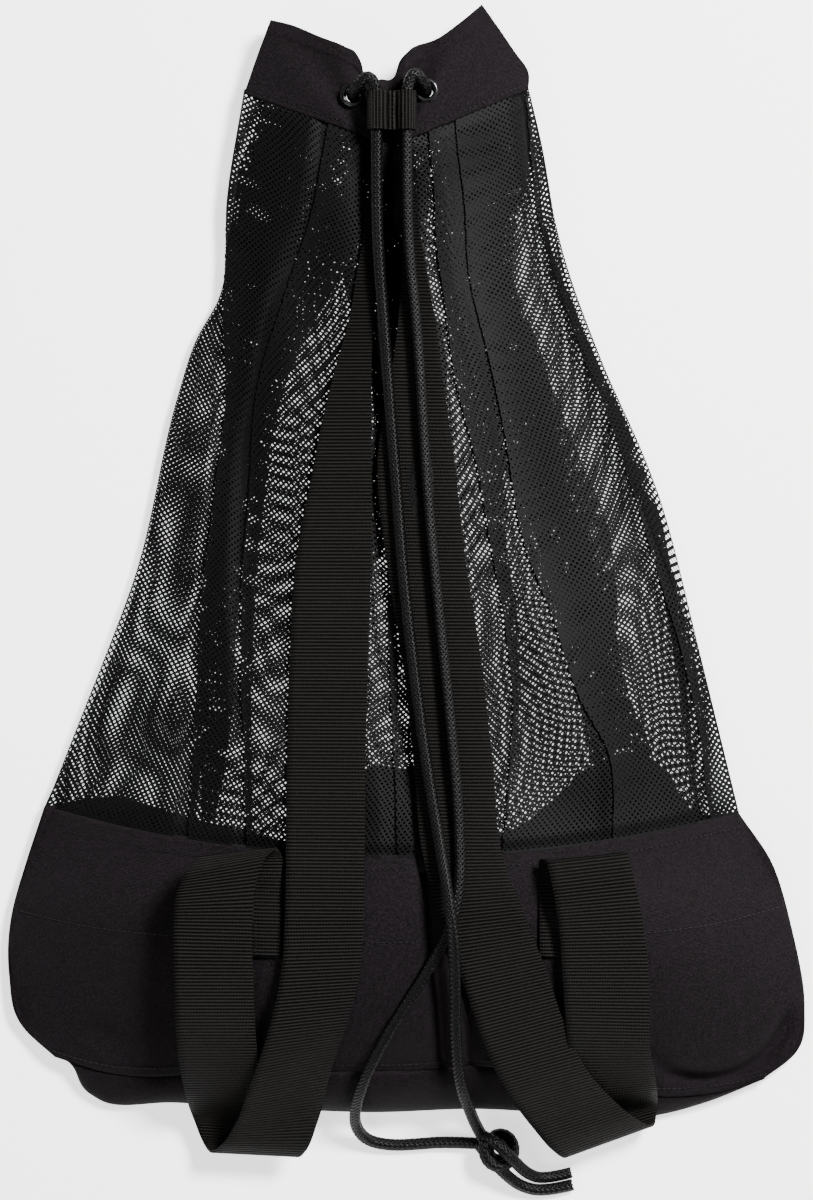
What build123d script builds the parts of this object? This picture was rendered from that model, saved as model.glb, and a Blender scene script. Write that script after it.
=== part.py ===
from build123d import *
import os
from math import pi, radians, sqrt, tan

os.makedirs("parts", exist_ok=True)

# Mesh ball bag, empty and lying flat on its back with the straps upwards.
# X runs across the bag, +Y towards the mouth, +Z up from the floor.
# The origin is on the floor, in the middle of the bag's length and width.

# ---------------------------------------------------------------- lengths along Y
loop_overhang = 27.0        # strap loops reach past the bottom by this much
bottom_depth = 30.0         # bottom panel seen beyond the wall's lower seam
base_height = 144.0         # woven wall
mesh_length = 470.0         # mesh, seam to seam
collar_height = 71.0        # woven collar, neck seam to the higher wing tip
overall_length = loop_overhang + bottom_depth + base_height + mesh_length + collar_height

loop_end_y = -overall_length / 2
base_end_y = loop_end_y + loop_overhang
wall_seam_y = base_end_y + bottom_depth
mesh_seam_y = wall_seam_y + base_height
neck_y = mesh_seam_y + mesh_length

# ---------------------------------------------------------------- widths across X
base_width = 515.0          # widest place, low on the woven wall
wall_seam_width = 468.0     # lower seam of the wall
bottom_edge_width = 416.0   # far edge of the bottom panel
mesh_seam_width = 463.0     # where mesh and wall are sewn together
mesh_low_width = 354.0      # a third of the way up the mesh
mesh_mid_width = 275.0
mesh_high_width = 216.0
neck_width = 184.0          # gathered neck
collar_width = 178.0
neck_lean = -12.0           # the neck lies this far off the base's middle line

# ---------------------------------------------------------------- heights above the floor
side_z = 17.0               # the folded side edges, where back and front part
crown_bottom = 20.0
crown_wall_seam = 47.0
crown_base = 78.0
crown_mesh_seam = 70.0
crown_mesh_low = 56.0
crown_mesh_mid = 46.0
crown_mesh_high = 39.5
crown_neck = 38.0
toe = 14.0                  # how far the side folds tuck in at the floor

# ---------------------------------------------------------------- cloth, webbing and cord
wall = 2.0                  # cloth with its seam allowance
seam_gap = 0.3              # a binding inside a seam keeps this clear of the cloth
binding_width = 12.0
binding_thickness = 1.4
webbing_width = 50.0
webbing_thickness = 2.0
twisted_width = 15.0        # a strap seen edge on, where it is twisted at the neck
turning_width = 30.0        # half way from twisted to flat
strap_gap = 0.7             # between the bag and a strap lying on it
loop_gap = 20.0             # between the two runs of a strap's loop
end_gap = 2.0               # between a strap and its own sewn end
cord_diameter = 8.0
cord_spacing = 19.0         # between the two cords where they run side by side
cord_mid_x = -9.5           # middle of the pair
cord_clearance = 1.8        # between a cord and the strap under it
cord_rise = strap_gap + webbing_thickness + cord_diameter / 2 + cord_clearance
cord_floor_z = cord_diameter / 2 + 0.2
gather_radius = cord_diameter   # the cord's turn under the collar, round its front eyelets
neck_floor_z = cord_diameter + 5.0  # the drawcord under the collar lifts it by this

# ---------------------------------------------------------------- eyelets and keeper
eyelet_play = 1.6           # bore over the cord that runs through it
eyelet_wall = 1.0
eyelet_rim = 1.7            # flange beyond the barrel
eyelet_bore = cord_diameter + eyelet_play
eyelet_barrel = eyelet_bore + 2 * eyelet_wall
eyelet_flange = eyelet_barrel + 2 * eyelet_rim
eyelet_flange_thickness = 1.0
eyelet_clearance = 0.3      # hole in the cloth round the barrel
eyelet_seat_gap = 1.1       # room for the slope of the cloth under a flange
eyelet_left_x = -37.0
eyelet_right_x = 14.0
eyelet_left_y = neck_y + 22.0
eyelet_right_y = neck_y + 28.0
keeper_length = 25.0
keeper_webbing = 1.9
keeper_clearance = 0.6      # round each cord, so that the keeper slides
keeper_y = neck_y
keeper_web = 4.0            # thickness of the stitched middle
keeper_bore = cord_diameter / 2 + keeper_clearance
keeper_lobe = keeper_bore + keeper_webbing
keeper_rise = 2.8           # keeper above the straps that it lies over
cord_neck_z = crown_neck + strap_gap + webbing_thickness + keeper_lobe + keeper_rise

# ---------------------------------------------------------------- strap hinge lines
left_hinge_y = mesh_seam_y - 42.0
right_hinge_y = mesh_seam_y - 85.0
hinge_gap = 2.2             # loop's cut end to the hinge line
hinge_back_gap = 0.5        # still end to the hinge line


def lerp(a, b, t):
    return a + (b - a) * t


base_crest_y = lerp(wall_seam_y, mesh_seam_y, 0.68)
# Each station is y, middle x, width, underside z, crown z.
base_stations = [
    (wall_seam_y, 2.0, wall_seam_width, 0.0, crown_wall_seam),
    (lerp(wall_seam_y, mesh_seam_y, 0.32), 0.0, base_width, 0.0, lerp(crown_wall_seam, crown_base, 0.7)),
    (base_crest_y, -3.0, base_width - 10.0, 0.0, crown_base),
    (mesh_seam_y, -7.0, mesh_seam_width, 0.0, crown_mesh_seam),
]
mesh_stations = [
    (mesh_seam_y, -7.0, mesh_seam_width, 0.0, crown_mesh_seam),
    (lerp(mesh_seam_y, neck_y, 0.334), 0.0, mesh_low_width, 0.0, crown_mesh_low),
    (lerp(mesh_seam_y, neck_y, 0.606), -11.0, mesh_mid_width, 0.0, crown_mesh_mid),
    (lerp(mesh_seam_y, neck_y, 0.79), -10.0, mesh_high_width, 2.0, crown_mesh_high),
    (neck_y, neck_lean, neck_width, neck_floor_z, crown_neck),
]
collar_stations = [
    (neck_y, neck_lean, neck_width, neck_floor_z, crown_neck),
    (neck_y + collar_height, neck_lean, collar_width, neck_floor_z, crown_neck - 1.0),
]
bottom_stations = [
    (base_end_y, 4.0, bottom_edge_width, 0.0, crown_bottom),
    (lerp(base_end_y, wall_seam_y, 0.45), 3.0, wall_seam_width - 20.0, 0.0, crown_bottom + 15.0),
    (wall_seam_y, 2.0, wall_seam_width, 0.0, crown_wall_seam),
]
all_stations = bottom_stations[:-1] + base_stations[:-1] + mesh_stations + collar_stations[1:]


def outline(station, inset=0.0):
    """Cut across the bag: flat underside, tucked sides and an arched top."""
    y, middle, width, low, crown = station
    half = width / 2 - inset
    with BuildSketch(Plane.XZ.offset(-y)) as cut:
        with BuildLine():
            top = ThreePointArc((middle - half, side_z), (middle, crown - inset), (middle + half, side_z))
            Polyline(
                top @ 0,
                (middle - half + toe, low + inset),
                (middle + half - toe, low + inset),
                top @ 1,
            )
        make_face()
    return cut.sketch


def outlines(stations, inset=0.0):
    return [outline(station, inset) for station in stations]


def station_at(y):
    """Station of the bag at any y, between the given ones."""
    for low, high in zip(all_stations, all_stations[1:]):
        if y <= high[0]:
            break
    t = max(0.0, (y - low[0]) / (high[0] - low[0]))
    return tuple(lerp(a, b, t) for a, b in zip(low, high))


def top_z(x, y):
    """Height of the bag's upper side."""
    _, middle, width, _, crown = station_at(y)
    half = width / 2
    rise = crown - side_z
    radius = (half**2 + rise**2) / (2 * rise)
    return crown - radius + sqrt(radius**2 - (x - middle) ** 2)


def cloth_half(stations, keep):
    """One side of a tube of cloth: the tube parted at its folded side edges."""
    with BuildPart() as half:
        loft(outlines(stations), ruled=True)
        loft(outlines(stations, wall), ruled=True, mode=Mode.SUBTRACT)
        split(bisect_by=Plane.XY.offset(side_z), keep=keep)
    return half


# ================================================================ woven base
base_wall_back = cloth_half(base_stations, Keep.TOP)
base_wall_front = cloth_half(base_stations, Keep.BOTTOM)

# The inner faces of the bottom panel start one cloth's thickness in from its far edge.
bottom_inner_edge = (base_end_y + wall, 4.0, bottom_edge_width, 0.0, crown_bottom + wall)
with BuildPart() as bottom_panel:
    loft(outlines(bottom_stations), ruled=True)
    loft(
        [outline(bottom_inner_edge, wall)] + outlines(bottom_stations[1:], wall),
        ruled=True,
        mode=Mode.SUBTRACT,
    )

# ================================================================ mesh
mesh_panel_back = cloth_half(mesh_stations, Keep.TOP)
mesh_panel_front = cloth_half(mesh_stations, Keep.BOTTOM)

# ================================================================ collar
# Seen from above, the two wings stand either side of the notch that the drawcord pulls in.
# Below the wings the cut passes outside the cloth, so the collar keeps its full width there.
outside_collar = max(neck_width, collar_width)
wing_outline = [
    (neck_lean - outside_collar, neck_y),
    (neck_lean - neck_width / 2 - 3.0, neck_y + 12.0),
    (neck_lean - 76.0, neck_y + collar_height - 10.0),
    (neck_lean - 28.0, neck_y + 44.0),
    (neck_lean - 13.0, neck_y + 36.0),
    (neck_lean + 10.0, neck_y + 39.0),
    (neck_lean + 33.0, neck_y + 50.0),
    (neck_lean + 60.0, neck_y + collar_height),
    (neck_lean + neck_width / 2 - 1.0, neck_y + 30.0),
    (neck_lean + outside_collar, neck_y),
]
eyelet_places = [(eyelet_left_x, eyelet_left_y), (eyelet_right_x, eyelet_right_y)]
eyelet_hole = eyelet_barrel / 2 + eyelet_clearance


def collar_half(keep):
    """One side of the woven collar, cut to its wings and holed for the eyelets."""
    with BuildPart() as half:
        loft(outlines(collar_stations), ruled=True)
        loft(outlines(collar_stations, wall), ruled=True, mode=Mode.SUBTRACT)
        split(bisect_by=Plane.XY.offset(side_z), keep=keep)
        with BuildSketch(Plane.XY):
            with BuildLine():
                Polyline(*wing_outline, close=True)
            make_face()
        extrude(amount=crown_base, mode=Mode.INTERSECT)
        with Locations(*eyelet_places):
            Cylinder(eyelet_hole, crown_base * 2, mode=Mode.SUBTRACT)
    return half


collar_back = collar_half(Keep.TOP)
collar_front = collar_half(Keep.BOTTOM)

# ================================================================ bindings inside the seams
def binding(seam_y):
    """Tape folded over the cloth edges inside a seam, all the way round the bag."""
    outer = wall + seam_gap
    reach = binding_width / 2
    stations = [station_at(seam_y - reach), station_at(seam_y), station_at(seam_y + reach)]
    with BuildPart() as tape:
        loft(outlines(stations, outer), ruled=True)
        loft(outlines(stations, outer + binding_thickness), ruled=True, mode=Mode.SUBTRACT)
    return tape


mesh_seam_binding = binding(mesh_seam_y)
wall_seam_binding = binding(wall_seam_y)
neck_seam_binding = binding(neck_y)


# ================================================================ eyelets
def eyelet_profile(seat_low, seat_high):
    """Half profile of an eyelet and its washer, clinched through cloth between two heights."""
    bore = eyelet_bore / 2
    barrel = eyelet_barrel / 2
    flange = eyelet_flange / 2
    low = seat_low - eyelet_flange_thickness
    high = seat_high + eyelet_flange_thickness
    return [
        (bore, low),
        (flange, low),
        (flange, seat_low),
        (barrel, seat_low),
        (barrel, seat_high),
        (flange, seat_high),
        (flange, high),
        (bore, high),
    ]


def eyelet(x, y, seat_low, seat_high):
    with BuildPart() as ring:
        with BuildSketch(Plane.XZ):
            with BuildLine():
                Polyline(*eyelet_profile(seat_low, seat_high), close=True)
            make_face()
        revolve(axis=Axis.Z)
        outer_edges = ring.edges().filter_by(GeomType.CIRCLE).group_by(SortBy.RADIUS)[-1]
        rims = [outer_edges.sort_by(Axis.Z)[0], outer_edges.sort_by(Axis.Z)[-1]]
        fillet(rims, eyelet_flange_thickness * 0.4)
    return Pos(x, y, 0) * ring.part


def back_eyelet(x, y):
    """Through the collar's upper side, seated clear of the cloth's slope."""
    seat = top_z(x, y)
    return eyelet(x, y, seat - wall - eyelet_seat_gap, seat + eyelet_seat_gap)


def front_eyelet(x, y):
    """Through the collar's lower side, which is level."""
    return eyelet(x, y, neck_floor_z - seam_gap, neck_floor_z + wall + seam_gap)


with BuildPart() as collar_eyelets_back:
    add(back_eyelet(eyelet_left_x, eyelet_left_y))
    add(back_eyelet(eyelet_right_x, eyelet_right_y))

with BuildPart() as collar_eyelets_front:
    add(front_eyelet(eyelet_left_x, eyelet_left_y))
    add(front_eyelet(eyelet_right_x, eyelet_right_y))


# ================================================================ drawcord
def corner_radii(points):
    """Largest arc that each corner's two runs allow."""
    vectors = [Vector(*p) for p in points]
    radii = []
    for before, corner, after in zip(vectors, vectors[1:], vectors[2:]):
        turn = radians((corner - before).get_angle(after - corner))
        shorter = min((corner - before).length, (after - corner).length)
        radii.append(0.45 * shorter / tan(turn / 2))
    return radii


def report_cord(name, points, path, solid):
    radii = corner_radii(points)
    section = pi * (cord_diameter / 2) ** 2
    length = sum(edge.length for edge in path.edges())
    share = solid.volume / (section * length)
    print(name, "length", round(length, 1), "volume share", round(share, 4))
    print("  radii", [round(r, 1) for r in radii])


cord_start_z = 30.0
left_x = cord_mid_x - cord_spacing / 2
right_x = cord_mid_x + cord_spacing / 2
cord_bend_y = neck_y + 19.5
straight_end_y = neck_y - 80.0


def on_bag(x, y, rise=cord_rise):
    return (x, y, top_z(x, y) + rise)


# Each cord leaves its eyelet, runs through the keeper and lies down the bag to the knot.
left_route = [
    (eyelet_left_x, eyelet_left_y, cord_start_z),
    (eyelet_left_x, eyelet_left_y, cord_neck_z),
    (left_x, cord_bend_y, cord_neck_z),
    (left_x, straight_end_y, cord_neck_z),
    on_bag(-14.5, neck_y - 135.0),
    on_bag(-10.5, neck_y - 190.0),
    on_bag(-6.0, neck_y - 245.0),
    on_bag(-2.0, neck_y - 300.0),
    on_bag(5.0, neck_y - 360.0),
    on_bag(13.0, neck_y - 420.0, 10.0),
    on_bag(20.5, neck_y - 465.0, 12.0),
    on_bag(26.0, neck_y - 497.0, 18.0),
    on_bag(29.5, neck_y - 525.0, 18.0),
    on_bag(31.0, neck_y - 555.0, 12.0),
    on_bag(31.0, neck_y - 590.0, 10.0),
    (34.0, wall_seam_y - 7.0, 52.0),
    (39.5, wall_seam_y - 24.0, 34.5),
    (45.0, base_end_y - 9.0, 19.0),
    (50.0, base_end_y - 18.0, 10.5),
]
right_route = [
    (eyelet_right_x, eyelet_right_y, cord_start_z),
    (eyelet_right_x, eyelet_right_y, cord_neck_z),
    (right_x, cord_bend_y, cord_neck_z),
    (right_x, straight_end_y, cord_neck_z),
    on_bag(6.0, neck_y - 135.0),
    on_bag(9.5, neck_y - 190.0),
    on_bag(13.0, neck_y - 245.0),
    on_bag(18.0, neck_y - 300.0),
    on_bag(24.5, neck_y - 360.0),
    on_bag(30.5, neck_y - 420.0),
    on_bag(33.5, neck_y - 465.0),
    on_bag(33.5, neck_y - 495.0),
    on_bag(28.0, neck_y - 518.0),
    on_bag(17.0, neck_y - 541.0),
    on_bag(-3.0, neck_y - 573.0),
    on_bag(-20.0, neck_y - 602.0, 9.0),
    (-28.5, wall_seam_y - 9.0, 50.0),
    (-33.0, wall_seam_y - 25.0, 34.0),
    (-33.5, base_end_y - 9.0, 17.5),
    (-26.0, base_end_y - 20.0, 6.5),
    (-10.0, base_end_y - 23.5, cord_floor_z),
    (8.0, base_end_y - 22.5, cord_floor_z),
    (25.0, base_end_y - 21.0, cord_floor_z),
    (48.5, base_end_y - 22.0, cord_floor_z + 1.5),
]
gather_route = [
    (eyelet_left_x, eyelet_left_y, cord_start_z),
    (eyelet_left_x, eyelet_left_y, cord_floor_z),
    (eyelet_right_x, eyelet_right_y, cord_floor_z),
    (eyelet_right_x, eyelet_right_y, cord_start_z),
]

with BuildPart() as drawcord_left_run:
    with BuildLine() as left_line:
        FilletPolyline(*left_route, radius=corner_radii(left_route))
    with BuildSketch(Plane(left_route[0], z_dir=(0, 0, 1))):
        Circle(cord_diameter / 2)
    sweep()

with BuildPart() as drawcord_right_run:
    with BuildLine() as right_line:
        FilletPolyline(*right_route, radius=corner_radii(right_route))
    with BuildSketch(Plane(right_route[0], z_dir=(0, 0, 1))):
        Circle(cord_diameter / 2)
    sweep()

with BuildPart() as drawcord_gather_run:
    with BuildLine() as gather_line:
        FilletPolyline(*gather_route, radius=gather_radius)
    with BuildSketch(Plane(gather_route[0], z_dir=(0, 0, -1))):
        Circle(cord_diameter / 2)
    sweep()

report_cord("left run", left_route, left_line.line, drawcord_left_run.part)
report_cord("right run", right_route, right_line.line, drawcord_right_run.part)
report_cord("gather run", gather_route, gather_line.line, drawcord_gather_run.part)

# The overhand knot that holds both ends, with its two short tails side by side.
knot_x = 61.5
knot_y = base_end_y - 24.0
knot_length = 4.25 * cord_diameter
knot_width = 3.625 * cord_diameter
knot_height = 2.625 * cord_diameter
knot_z = knot_height / 2 + 0.3
knot_half_sizes = (knot_width / 2, knot_length / 2, knot_height / 2)
knot_core = Pos(knot_x, knot_y, knot_z) * scale(Sphere(1.0), by=knot_half_sizes)
tail_width = cord_diameter * 1.9
tail_thickness = cord_diameter
tail_bars = [
    ((knot_x + 1.0, knot_y - 4.0, 9.0), (0.72, -0.69)),
    ((knot_x + 12.0, knot_y - 14.0, 7.0), (0.72, -0.69)),
    ((knot_x + 22.0, knot_y - 22.5, 5.2), (0.80, -0.60)),
    ((knot_x + 33.0, knot_y - 23.0, 5.0), (0.97, 0.22)),
    ((knot_x + 46.0, knot_y - 19.5, 5.0), (0.97, 0.22)),
]
tail_cuts = []
for place, heading in tail_bars:
    sideways = (heading[1], -heading[0], 0)
    with BuildSketch(Plane(origin=place, z_dir=(*heading, 0), x_dir=sideways)) as tail_cut:
        Ellipse(tail_width / 2, tail_thickness / 2)
    tail_cuts.append(tail_cut.sketch)

with BuildPart() as drawcord_knot:
    add(knot_core)
    loft(tail_cuts, ruled=True)
    add(drawcord_left_run.part, mode=Mode.SUBTRACT)
    add(drawcord_right_run.part, mode=Mode.SUBTRACT)

# ================================================================ keeper
with BuildPart() as cord_keeper:
    with BuildSketch(Plane.XZ.offset(-(keeper_y - keeper_length / 2))):
        with Locations((left_x, cord_neck_z), (right_x, cord_neck_z)):
            Circle(keeper_lobe)
        with Locations((cord_mid_x, cord_neck_z)):
            Rectangle(cord_spacing, keeper_web)
        with Locations((left_x, cord_neck_z), (right_x, cord_neck_z)):
            Circle(keeper_bore, mode=Mode.SUBTRACT)
    extrude(amount=-keeper_length)

# Two rows of thread down the keeper's middle.
thread = 0.9
stitch_length = 2.6
stitch_count = 7
row_spacing = 2.2
stitch_pitch = keeper_length / (stitch_count + 1)
with BuildPart() as keeper_stitching:
    with Locations((cord_mid_x, keeper_y, cord_neck_z + keeper_web / 2 + thread / 2)):
        with GridLocations(row_spacing, stitch_pitch, 2, stitch_count):
            Box(thread, stitch_length, thread)


# ================================================================ shoulder straps
def webbing_spans(bars, thickness=webbing_thickness):
    """Spans of flat webbing between cross bars, each given by its left and right edge points."""
    edges = [(Vector(*left), Vector(*right)) for left, right in bars]
    middles = [(left + right) * 0.5 for left, right in edges]
    cuts = []
    for i, (left, right) in enumerate(edges):
        ahead = middles[min(i + 1, len(middles) - 1)] - middles[max(i - 1, 0)]
        across = (right - left).normalized()
        along = ahead - across * ahead.dot(across)
        plane = Plane(origin=middles[i], x_dir=across, z_dir=along)
        with BuildSketch(plane) as cut:
            Rectangle((right - left).length, thickness)
        cuts.append(cut.sketch)
    return list(zip(cuts, cuts[1:]))


def lying_bar(left, right, y, rise=strap_gap + webbing_thickness / 2):
    """Bar of webbing that lies on the bag: straight, and clear of the cloth at its highest place."""
    middle = (left + right) / 2
    slope = (top_z(right, y) - top_z(left, y)) / (right - left)
    middle_z = top_z(middle, y) + rise
    half = (right - left) / 2
    return ((left, y, middle_z - slope * half), (right, y, middle_z + slope * half))


def flat_bar(left, right, y, z):
    return ((left, y, z), (right, y, z))


def left_of(right, width=webbing_width):
    return (right - width, right)


def right_of(left, width=webbing_width):
    return (left, left + width)


def down_mesh(share):
    """Y at a share of the mesh's length below the neck."""
    return lerp(neck_y, mesh_seam_y, share)


strap_rise = strap_gap + webbing_thickness / 2
left_hinge_z = top_z(-27.0, left_hinge_y) + strap_rise + 0.3
right_hinge_z = top_z(37.5, right_hinge_y) + strap_rise

left_top_bars = [
    lying_bar(*left_of(-22.5, twisted_width), down_mesh(0.03)),
    lying_bar(*left_of(-22.5, twisted_width), down_mesh(0.257)),
    lying_bar(*left_of(-22.5, turning_width), down_mesh(0.394)),
    lying_bar(*left_of(-22.5), down_mesh(0.611)),
    lying_bar(*left_of(-24.5), down_mesh(0.745)),
    lying_bar(*left_of(-26.0), down_mesh(0.872)),
    lying_bar(*left_of(-26.5), mesh_seam_y + 8.0, strap_rise + 3.5),
    flat_bar(*left_of(-27.0), left_hinge_y + hinge_back_gap, left_hinge_z),
]
right_top_bars = [
    lying_bar(*right_of(-19.5, twisted_width), down_mesh(0.03)),
    lying_bar(*right_of(-19.5, turning_width), down_mesh(0.202)),
    lying_bar(*right_of(-19.5), down_mesh(0.47)),
    lying_bar(*right_of(-13.0), down_mesh(0.611)),
    lying_bar(*right_of(-2.5), down_mesh(0.747)),
    lying_bar(*right_of(5.0), down_mesh(0.894)),
    lying_bar(*right_of(10.0), mesh_seam_y - 4.0),
    lying_bar(*right_of(23.0), base_crest_y + 1.0),
    flat_bar(*right_of(37.5), right_hinge_y + hinge_back_gap, right_hinge_z),
]
with BuildPart() as left_strap:
    for start, end in webbing_spans(left_top_bars):
        loft([start, end], ruled=True)

with BuildPart() as right_strap:
    for start, end in webbing_spans(right_top_bars):
        loft([start, end], ruled=True)

# The loops: down over the wall, round beyond the bag's end and back up beside themselves.
left_back_run = -27.0 - webbing_width - loop_gap
right_back_run = 37.5 + webbing_width + loop_gap
left_loop_bars = [
    flat_bar(*left_of(-27.0), left_hinge_y - hinge_gap, left_hinge_z),
    flat_bar(*left_of(-29.0), left_hinge_y - 32.0, left_hinge_z - 5.0),
    flat_bar(*left_of(-41.5), wall_seam_y + 27.0, crown_wall_seam + 22.0),
    flat_bar(*left_of(-50.5), wall_seam_y - 8.0, crown_wall_seam + 7.0),
    flat_bar(*left_of(-60.5), base_end_y - 6.0, crown_bottom + 18.0),
    flat_bar(*left_of(-70.5), loop_end_y + 3.0, crown_bottom + 10.0),
    flat_bar(*left_of(-75.5), loop_end_y + 1.0, crown_bottom + 4.0),
    flat_bar(*left_of(-80.5), loop_end_y + 3.5, crown_bottom - 3.0),
    flat_bar(*left_of(-86.5), base_end_y - 10.0, crown_bottom - 6.5),
    flat_bar(*left_of(left_back_run + 5.0), wall_seam_y - 14.0, crown_bottom + 18.0),
    flat_bar(*left_of(left_back_run + 2.0), wall_seam_y + 12.0, crown_wall_seam + 10.0),
    flat_bar(*left_of(left_back_run), left_hinge_y - 40.0, left_hinge_z - 3.0),
    flat_bar(*left_of(left_back_run), left_hinge_y - hinge_gap, left_hinge_z),
]
right_loop_bars = [
    flat_bar(*right_of(37.5), right_hinge_y - hinge_gap, right_hinge_z),
    flat_bar(*right_of(46.0), right_hinge_y - 27.0, right_hinge_z - 7.0),
    flat_bar(*right_of(63.5), wall_seam_y - 4.0, crown_wall_seam + 6.0),
    flat_bar(*right_of(80.5), base_end_y - 1.0, crown_bottom + 20.0),
    flat_bar(*right_of(90.5), base_end_y - 18.0, crown_bottom + 13.0),
    flat_bar(*right_of(97.5), loop_end_y + 2.5, crown_bottom + 6.0),
    flat_bar(*right_of(101.5), loop_end_y + 2.5, crown_bottom - 1.0),
    flat_bar(*right_of(106.5), base_end_y - 12.0, crown_bottom - 7.0),
    flat_bar(*right_of(right_back_run + 1.0), wall_seam_y - 14.0, crown_bottom + 16.0),
    flat_bar(*right_of(right_back_run - 1.5), wall_seam_y + 12.0, crown_wall_seam + 8.0),
    flat_bar(*right_of(right_back_run - 7.5), right_hinge_y - hinge_gap, right_hinge_z),
]
with BuildPart() as left_strap_loop:
    for start, end in webbing_spans(left_loop_bars):
        loft([start, end], ruled=True)

with BuildPart() as right_strap_loop:
    for start, end in webbing_spans(right_loop_bars):
        loft([start, end], ruled=True)


# Above each hinge line the slack turns over and its end is sewn down under the strap.
left_end_x = -27.0 - webbing_width - end_gap
right_end_x = 32.0 + webbing_width + end_gap
left_end_bars = [
    flat_bar(*left_of(left_back_run), left_hinge_y + hinge_back_gap, left_hinge_z),
    flat_bar(*left_of(left_back_run + 4.0), mesh_seam_y - 24.0, left_hinge_z + 3.0),
    flat_bar(*left_of(left_end_x - 7.0), mesh_seam_y - 10.0, left_hinge_z + 2.5),
    flat_bar(*left_of(left_end_x - 2.0), mesh_seam_y - 3.5, left_hinge_z - 2.0),
    flat_bar(*left_of(left_end_x), mesh_seam_y - 2.5, crown_mesh_seam + 3.0),
    flat_bar(*left_of(left_end_x), mesh_seam_y - 8.0, crown_mesh_seam - 0.5),
    lying_bar(*left_of(left_end_x), mesh_seam_y - 18.0),
    lying_bar(*left_of(left_end_x), base_crest_y),
    lying_bar(*left_of(left_end_x), mesh_seam_y - 69.0),
]
right_end_bars = [
    flat_bar(*right_of(right_back_run - 7.5), right_hinge_y + hinge_back_gap, right_hinge_z),
    flat_bar(*right_of(right_end_x + 11.0), mesh_seam_y - 52.0, crown_mesh_seam + 10.0),
    flat_bar(*right_of(right_end_x + 7.0), mesh_seam_y - 22.0, crown_mesh_seam + 15.0),
    flat_bar(*right_of(right_end_x + 5.0), mesh_seam_y - 7.0, crown_mesh_seam + 12.0),
    flat_bar(*right_of(right_end_x + 3.0), mesh_seam_y - 2.5, crown_mesh_seam + 6.0),
    flat_bar(*right_of(right_end_x + 1.0), mesh_seam_y - 4.0, crown_mesh_seam),
    lying_bar(*right_of(right_end_x), mesh_seam_y - 14.0),
    lying_bar(*right_of(right_end_x), base_crest_y),
    lying_bar(*right_of(right_end_x), mesh_seam_y - 69.0),
]
with BuildPart() as left_strap_end:
    for start, end in webbing_spans(left_end_bars):
        loft([start, end], ruled=True)

with BuildPart() as right_strap_end:
    for start, end in webbing_spans(right_end_bars):
        loft([start, end], ruled=True)


box_stitch_side = 17.0      # stitched square that holds a strap's end
box_stitch_inset = 2.5      # from the strap's cut end
thread_lift = 0.4           # thread above the webbing's ribs


def box_stitch(bars):
    """A sewn square with its two diagonals, in thread, on the last span of a strap's end."""
    (far_left, far_right), (near_left, near_right) = [[Vector(*p) for p in bar] for bar in bars[-2:]]
    across = (near_right - near_left).normalized()
    along = (near_left + near_right - far_left - far_right).normalized()
    up = along.cross(across)
    middle = (near_left + near_right) * 0.5 - along * (box_stitch_side / 2 + box_stitch_inset)
    lift = webbing_thickness / 2 + thread / 2 + thread_lift
    plane = Plane(origin=middle + up * lift, x_dir=across, z_dir=up)
    side = box_stitch_side
    reach = side / 2
    with BuildPart(plane) as stitch:
        with Locations((0, reach), (0, -reach)):
            Box(side + thread, thread, thread)
        with Locations((reach, 0), (-reach, 0)):
            Box(thread, side - thread, thread)
        with Locations(Location((0, 0, 0), (0, 0, 45)), Location((0, 0, 0), (0, 0, -45))):
            Box(side * sqrt(2) - thread, thread, thread)
    return stitch.part


with BuildPart() as strap_end_stitching:
    add(box_stitch(left_end_bars))
    add(box_stitch(right_end_bars))

# ================================================================ labels and files
nodes = {
    "base_wall_back": base_wall_back,
    "base_wall_front": base_wall_front,
    "bottom_panel": bottom_panel,
    "wall_seam_binding": wall_seam_binding,
    "mesh_seam_binding": mesh_seam_binding,
    "neck_seam_binding": neck_seam_binding,
    "mesh_panel_back": mesh_panel_back,
    "mesh_panel_front": mesh_panel_front,
    "collar_back": collar_back,
    "collar_front": collar_front,
    "collar_eyelets_back": collar_eyelets_back,
    "collar_eyelets_front": collar_eyelets_front,
    "cord_keeper": cord_keeper,
    "keeper_stitching": keeper_stitching,
    "drawcord_left_run": drawcord_left_run,
    "drawcord_right_run": drawcord_right_run,
    "drawcord_gather_run": drawcord_gather_run,
    "drawcord_knot": drawcord_knot,
    "left_strap": left_strap,
    "left_strap_loop": left_strap_loop,
    "left_strap_end": left_strap_end,
    "right_strap": right_strap,
    "right_strap_loop": right_strap_loop,
    "right_strap_end": right_strap_end,
    "strap_end_stitching": strap_end_stitching,
}
for name, piece in nodes.items():
    piece.part.label = name
    export_step(piece.part, f"parts/{name}.step")
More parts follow.
